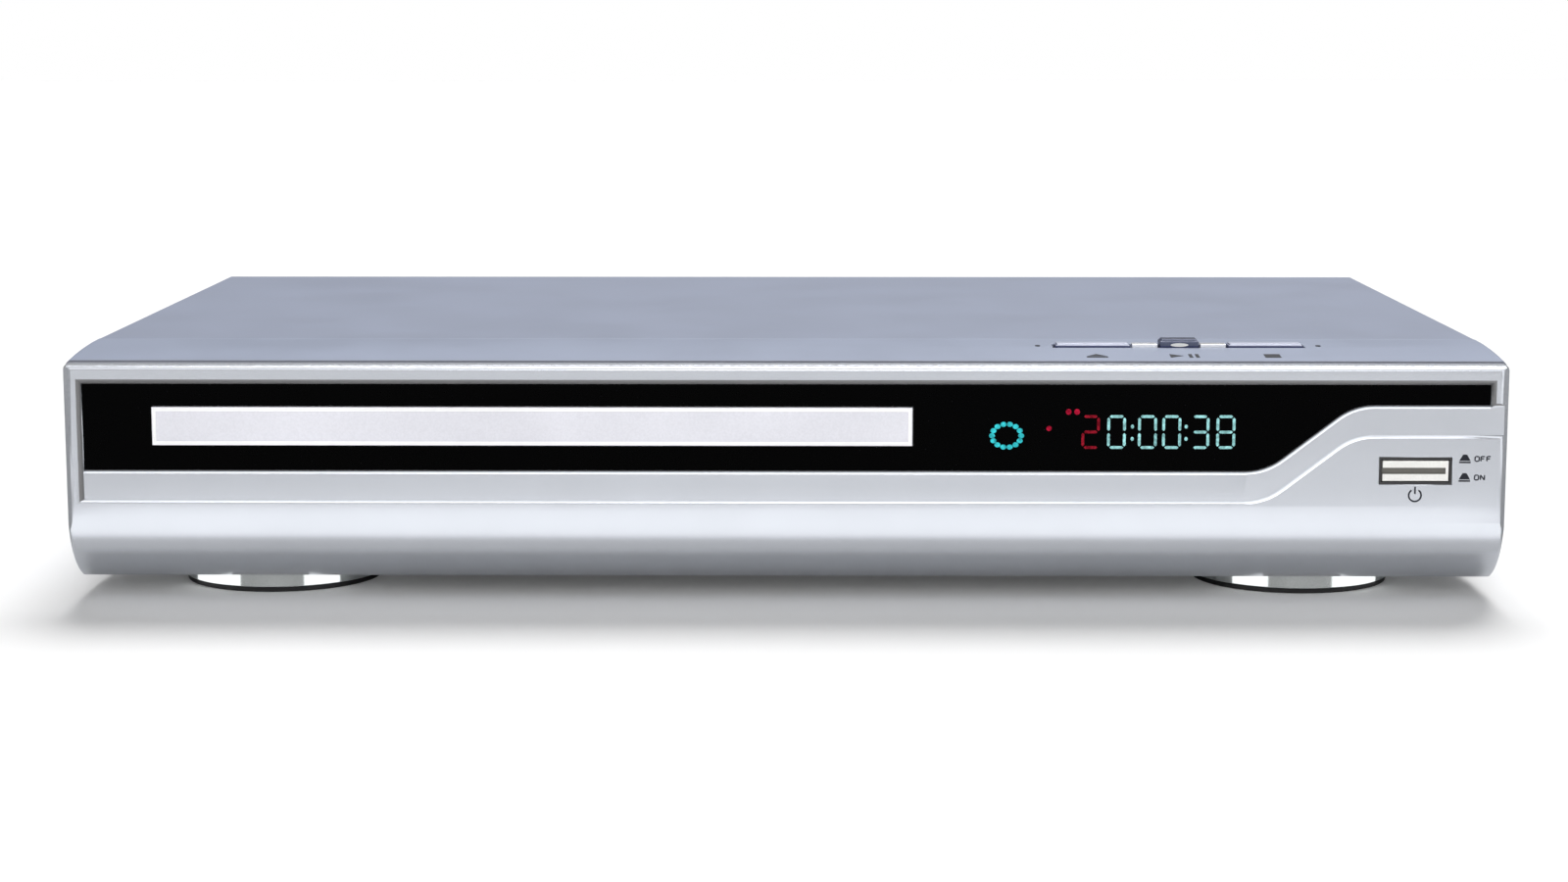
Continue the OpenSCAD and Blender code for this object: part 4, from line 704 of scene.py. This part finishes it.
CAP_ROUND = 0.12
CAP_FRONT = 0.8
GROOVE_LOW = 40.0
GROOVE_TOP = 43.0
RIM_ROUND = 0.15
FRONT_INK = Vector((0, -0.02, 0))

# A ring that is open at its top, with a stroke through the gap.
RING_SIGN_Z = 34.2
RING_SIGN_R = 2.1
RING_SIGN_STROKE = 0.5
RING_SIGN_OPEN = radians(34)
RING_SIGN_STEPS = 20
STROKE_SIGN_LOW = 0.4
STROKE_SIGN_TOP = 2.6

# Each word has its height on the front. Before it stands the sign of a button over its base.
WORDS = ((45.2, "OFF"), (39.6, "ON"))
BUTTON_LEFT = 200.5
BUTTON_RIGHT = 203.9
BUTTON_LOW = -0.6
BUTTON_TOP = 1.3
BUTTON_SLOPE = 1.1
BASE_LOW = -1.3
BASE_TOP = -0.8
WORD_LEFT = 205.2
WORD_LOW = -0.8
LETTER_PITCH = 1.75
LETTER_STROKE = 0.4
LETTERS = {
    "O": ((0, 0.1, 0, 1.5), (1.2, 0.1, 1.2, 1.5), (0, 0.1, 1.2, 0.1), (0, 1.5, 1.2, 1.5)),
    "N": ((0, 0, 0, 1.6), (1.2, 0, 1.2, 1.6), (0, 1.6, 1.2, 0)),
    "F": ((0, 0, 0, 1.6), (0, 1.5, 1.2, 1.5), (0, 0.85, 1.0, 0.85)),
}


def on_front(a, b):
    """A point on the front. a is across and b is up."""
    return Vector((a, FRONT, b))


def make_power_button():
    """The power button with painted shade in its groove, and the black rim round it."""
    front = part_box("power_button")[0].y / MM
    shape = copied("power_button")
    # The groove's walls get painted shade.
    for face in shape.faces:
        middle = face.calc_center_median() / MM
        in_groove = front + 0.1 < middle.y < front + CAP_FRONT and GROOVE_LOW < middle.z < GROOVE_TOP
        if in_groove and face.normal.y < 0.5:
            face.material_index = 1
    rounded(shape, corners(shape, lambda p: p.y < front + CAP_FRONT), CAP_ROUND, 2, True)
    piece("power_cap_shell", shape, [power_cap, groove_grey], "power_button", "power_button")
    shape = copied("power_bezel")
    rounded(shape, corners(shape), RIM_ROUND)
    piece("power_rim", shape, [black_plastic], "casing", "power_bezel")


def make_power_signs():
    """The open ring under the power button, and the marks and words beside it."""
    signs = bmesh.new()
    left, right = (corner.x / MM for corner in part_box("power_button"))
    a, b = (left + right) / 2, RING_SIGN_Z
    outer, inner = RING_SIGN_R, RING_SIGN_R - RING_SIGN_STROKE
    first, sweep = pi / 2 + RING_SIGN_OPEN, 2 * (pi - RING_SIGN_OPEN)
    turns = [first + sweep * k / RING_SIGN_STEPS for k in range(RING_SIGN_STEPS + 1)]
    for one, after in zip(turns, turns[1:]):
        ends = ((outer, one), (outer, after), (inner, after), (inner, one))
        plate(signs, [(a + r * cos(turn), b + r * sin(turn)) for r, turn in ends], on_front, FRONT_INK)
    half = RING_SIGN_STROKE / 2
    plate(signs, block(a - half, b + STROKE_SIGN_LOW, a + half, b + STROKE_SIGN_TOP), on_front, FRONT_INK)
    for row, word in WORDS:
        low, top = row + BUTTON_LOW, row + BUTTON_TOP
        button = [(BUTTON_LEFT, low), (BUTTON_RIGHT, low), (BUTTON_RIGHT - BUTTON_SLOPE, top),
                  (BUTTON_LEFT + BUTTON_SLOPE, top)]
        plate(signs, button, on_front, FRONT_INK)
        plate(signs, block(BUTTON_LEFT, row + BASE_LOW, BUTTON_RIGHT, row + BASE_TOP), on_front, FRONT_INK)
        for k, letter in enumerate(word):
            side, foot = WORD_LEFT + LETTER_PITCH * k, row + WORD_LOW
            for a0, b0, a1, b1 in LETTERS[letter]:
                stroke = bar(side + a0, foot + b0, side + a1, foot + b1, LETTER_STROKE)
                plate(signs, stroke, on_front, FRONT_INK)
    piece("power_signs", signs, [print_dark], "casing")


# ---------------------------------------------------------------- feet

FOOT_ROUND = 0.3
PAD_ROUND = 0.35


def make_feet():
    """Four wide chromed feet with rounded edges and a rubber ring below each."""
    for side in ("front_left", "front_right", "rear_left", "rear_right"):
        node = "foot_" + side
        shape = copied(node)
        rounded(shape, corners(shape), FOOT_ROUND, 3)
        piece("chromed_" + node, shape, [foot_chrome], "casing", node)
    shape = copied("foot_pads")
    rounded(shape, corners(shape), PAD_ROUND, 3)
    piece("rubber_rings", shape, [black_rubber], "casing", "foot_pads")


# ---------------------------------------------------------------- sockets

SHEET_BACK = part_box("rear_panel")[1].y / MM
JACK_RADIUS = 4.15
HOLE_RADIUS = 4.95
CORE_RADIUS = 2.9
WASHER_STEPS = 40
SOCKET_ROUND = 0.15
JACKS = ((24.0, 25.0, "red"), (38.0, 25.0, "white"), (52.0, 25.0, "yellow"), (24.0, 39.0, "red"),
         (38.0, 39.0, "blue"), (52.0, 39.0, "green"), (71.6, 25.0, "orange"))
JACK_COLOURS = {"red": (0.5, 0.02, 0.02), "white": (0.75, 0.75, 0.72), "yellow": (0.75, 0.55, 0.02),
                "blue": (0.02, 0.1, 0.5), "green": (0.02, 0.3, 0.06), "orange": (0.7, 0.2, 0.02)}

# A washer's outline, from the rear sheet outwards: height over the sheet and distance from the jack's axis.
WASHER = ((0.02, JACK_RADIUS + 0.08), (0.6, JACK_RADIUS + 0.08), (0.6, HOLE_RADIUS + 0.5),
          (0.45, HOLE_RADIUS + 0.75), (0.02, HOLE_RADIUS + 0.75))


def washer(shape, a, b):
    """Spins a washer round the jack at (a, b) and returns its faces."""
    before = set(shape.faces)
    points = [shape.verts.new(Vector((a + reach, SHEET_BACK + height, b)) * MM) for height, reach in WASHER]
    outline = [shape.edges.new(pair) for pair in zip(points, points[1:] + points[:1])]
    bmesh.ops.spin(shape, geom=points + outline, cent=Vector((a, 0, b)) * MM, axis=(0, 1, 0), dvec=(0, 0, 0),
                   angle=2 * pi, steps=WASHER_STEPS, use_merge=True, use_duplicate=False)
    return [face for face in shape.faces if face not in before]


def make_jacks():
    """Coloured washers round the signal jacks and coloured insulators inside them."""
    names = sorted(JACK_COLOURS)
    plastics = [finish("jack_" + name, JACK_COLOURS[name], 0.0, 0.35, 0.4, grain_size=0.3) for name in names]
    washers = bmesh.new()
    for a, b, colour in JACKS:
        for face in washer(washers, a, b):
            face.material_index = names.index(colour)
    bmesh.ops.recalc_face_normals(washers, faces=washers.faces[:])
    piece("jack_washers", washers, plastics, "casing")
    shape = copied("signal_sockets")
    rounded(shape, corners(shape), SOCKET_ROUND, 1, True)
    for face in shape.faces:
        middle = face.calc_center_median() / MM
        for a, b, colour in JACKS:
            if middle.y > SHEET_BACK and hypot(middle.x - a, middle.z - b) < CORE_RADIUS:
                face.material_index = 1 + names.index(colour)
    piece("socket_strip", shape, [finishes[slots["signal_sockets"]], *plastics], "casing", "signal_sockets")


# ---------------------------------------------------------------- casing and mechanism

# The piece that stands for each node, and how far its edges are rounded off.
SOFT_EDGES = {
    "top_cover": ("folded_cover", 0.3), "rear_panel": ("rear_sheet", 0.12),
    "bottom_chassis": ("floor_sheet", 0.12), "mains_inlet": ("inlet_shell", 0.25),
    "round_video_socket": ("round_socket_shell", 0.2), "signal_collars": ("socket_collars", 0.15),
    "loader_frame": ("loader_shell", 0.3), "disc_clamp": ("clamp_puck", 0.25),
    "clamp_bridge": ("clamp_strip", 0.15), "transformer": ("wound_transformer", 0.4),
    "board_chips": ("chip_packages", 0.2), "board_capacitors": ("small_capacitors", 0.3),
    "supply_capacitor": ("large_capacitor", 0.5), "loading_motor": ("loading_motor_can", 0.4),
    "cover_screws": ("cover_screw_heads", 0.15), "underside_screws": ("underside_screw_heads", 0.15),
    "inner_screws": ("inner_screw_heads", 0.1),
}


def make_soft_edges():
    """The sheets, sockets, screws and inner parts with their edges rounded off."""
    for node, (name, radius) in SOFT_EDGES.items():
        shape = copied(node)
        rounded(shape, corners(shape), radius)
        piece(name, shape, [finishes[slots[node]]], body_of(node), node)


make_front()
make_window()
make_door()
make_display()
make_deck()
make_deck_signs()
make_keys()
make_power_button()
make_power_signs()
make_feet()
make_jacks()
make_soft_edges()


# ---------------------------------------------------------------- floor and cards

# The studio is in metres. Levels are how bright a card is.
FLOOR_SIZE = (12, 12)
FLOOR_TONE = 0.86
FLOOR_LIFT = 0.05
WHITE = (1, 1, 1, 1)

# Name, width and length, level, place, tilt and turn.
CARDS = (
    ("floor_card", (1.0, 0.115), 1.95, (0, -0.2015, 0.001), 0, 0),
    ("floor_card_near", (1.0, 0.014), 0.75, (0, -0.137, 0.0011), 0, 0),
    ("ceiling_card", (3.0, 1.2), 1.6, (0, -0.6, 1.1), 0, 0),
    ("front_card", (2.6, 0.3), 2.2, (0, -0.93, 0.56), 57, 0),
    ("side_card", (0.3, 0.5), 2.2, (0.75, -0.6, 0.2), 90, 52),
)
# The same for cards that stand on the right and are mirrored to the left.
PAIRED_CARDS = (
    ("flag", (1.6, 0.7), 0.4, (0.9, 0.2, 0.351), 90, 90),
    ("floor_shade", (0.5, 0.6), 0.35, (0.49, 0.05, 0.0011), 0, 0),
    ("corner_card", (0.3, 0.2), 2.2, (0.47, -0.39, 0.001), 0, 45),
)
# Low cards that stand near the front feet: name, level, and the places on the right where they start and end.
FOOT_CARDS = (
    ("foot_card_outer", 1.3, (0.1701, -0.1122), (0.1858, -0.0983)),
    ("foot_card_inner", 1.3, (0.1351, -0.1038), (0.1464, -0.1122)),
    ("foot_card_middle", 0.3, (0.1464, -0.1122), (0.1701, -0.1122)),
)
FOOT_CARD_HIGH = 0.006
FOOT_CARD_Z = 0.0032


def studio_plane(name, size, tone, level):
    """A flat piece of the studio, which isn't part of the player."""
    shape = bmesh.new()
    bmesh.ops.create_grid(shape, x_segments=1, y_segments=1, size=0.5)
    bmesh.ops.scale(shape, vec=(*size, 1), verts=shape.verts[:])
    mesh = bpy.data.meshes.new(name)
    shape.to_mesh(mesh)
    shape.free()
    thing = bpy.data.objects.new(name, mesh)
    bpy.context.scene.collection.objects.link(thing)
    material = bpy.data.materials.new(name)
    material.use_nodes = True
    shader = material.node_tree.nodes["Principled BSDF"]
    shader.inputs["Base Color"].default_value = (tone, tone, tone, 1)
    shader.inputs["Roughness"].default_value = 0.9
    shader.inputs["Specular IOR Level"].default_value = 0.0
    shader.inputs["Emission Color"].default_value = WHITE
    shader.inputs["Emission Strength"].default_value = level
    mesh.materials.append(material)
    return thing


def white_floor():
    """A wide pale floor that keeps the player's shadow. It looks white from above and clear from below."""
    tree = studio_plane("floor", FLOOR_SIZE, FLOOR_TONE, 0.0).data.materials[0].node_tree
    shader = tree.nodes["Principled BSDF"]
    seen = tree.nodes.new("ShaderNodeLightPath").outputs["Is Camera Ray"]
    feed(tree, shader.inputs["Emission Strength"], worked(tree, "MULTIPLY", seen, FLOOR_LIFT))
    below = worked(tree, "MULTIPLY", tree.nodes.new("ShaderNodeNewGeometry").outputs["Backfacing"], seen)
    clear = shader_node(tree, "ShaderNodeMixShader", Fac=below)
    feed(tree, clear.inputs[1], shader.outputs["BSDF"])
    feed(tree, clear.inputs[2], tree.nodes.new("ShaderNodeBsdfTransparent").outputs["BSDF"])
    feed(tree, tree.nodes["Material Output"].inputs["Surface"], clear.outputs["Shader"])


def card(name, size, level, place, tilt, turn):
    """A bright card that only shows in glossy surfaces."""
    thing = studio_plane(name, size, 0.0, level)
    thing.location = place
    thing.rotation_euler = (radians(tilt), 0, radians(turn))
    thing.visible_camera = False
    thing.visible_diffuse = False
    thing.visible_shadow = False


def foot_card(name, level, side, start, end):
    """A low standing card near a front foot."""
    reach = Vector((side * (end[0] - start[0]), end[1] - start[1]))
    middle = (side * (start[0] + end[0]) / 2, (start[1] + end[1]) / 2, FOOT_CARD_Z)
    card(name, (reach.length, FOOT_CARD_HIGH), level, middle, 90, degrees(atan2(reach.y, reach.x)))


def make_cards():
    """All the cards, on both sides."""
    for values in CARDS:
        card(*values)
    for side, ending in ((-1, "_left"), (1, "_right")):
        for name, size, level, (x, y, z), tilt, turn in PAIRED_CARDS:
            card(name + ending, size, level, (side * x, y, z), tilt, side * turn)
        for name, level, start, end in FOOT_CARDS:
            foot_card(name + ending, level, side, start, end)


# ---------------------------------------------------------------- light and camera

SKY_HORIZON = 0.12
SKY_ZENITH = 0.4
SKY_SEEN = 1.0
LENS = 67.63
CAMERA_PLACE = (0.0063, -0.999, 0.1787)
CAMERA_DOWN = 8.42
CAMERA_TURN = 0.434


def lamp(name, strength, softness, elevation, heading):
    """A soft sun. Heading 0 shines from the front, 180 from behind."""
    data = bpy.data.lights.new(name, "SUN")
    data.energy = strength
    data.angle = radians(softness)
    thing = bpy.data.objects.new(name, data)
    bpy.context.scene.collection.objects.link(thing)
    thing.rotation_euler = (radians(90 - elevation), 0, radians(heading))


def sky():
    """An even white sky for the camera, and one that is brighter overhead for everything else."""
    world = bpy.data.worlds.new("world")
    bpy.context.scene.world = world
    world.use_nodes = True
    tree = world.node_tree
    direction = tree.nodes.new("ShaderNodeTexCoord").outputs["Generated"]
    height = shader_node(tree, "ShaderNodeSeparateXYZ", Vector=direction).outputs["Z"]
    seen = tree.nodes.new("ShaderNodeLightPath").outputs["Is Camera Ray"]
    lit = spread(tree, height, SKY_HORIZON, SKY_ZENITH, 0, 1)
    level = shader_node(tree, "ShaderNodeMix", Factor=seen, A=lit, B=SKY_SEEN)
    background = tree.nodes["Background"]
    background.inputs["Color"].default_value = WHITE
    feed(tree, background.inputs["Strength"], level.outputs["Result"])


def make_camera():
    """The camera, a little above the player and right of its middle."""
    view = bpy.data.cameras.new("camera")
    view.lens = LENS
    camera = bpy.data.objects.new("camera", view)
    bpy.context.scene.collection.objects.link(camera)
    camera.location = CAMERA_PLACE
    camera.rotation_euler = (radians(90 - CAMERA_DOWN), 0, radians(CAMERA_TURN))
    bpy.context.scene.camera = camera


white_floor()
make_cards()
lamp("key_light", 2.9, 34, 57, 172)
lamp("front_light", 1.1, 30, 20, 0)
sky()
make_camera()
bpy.context.scene.view_settings.view_transform = "Standard"
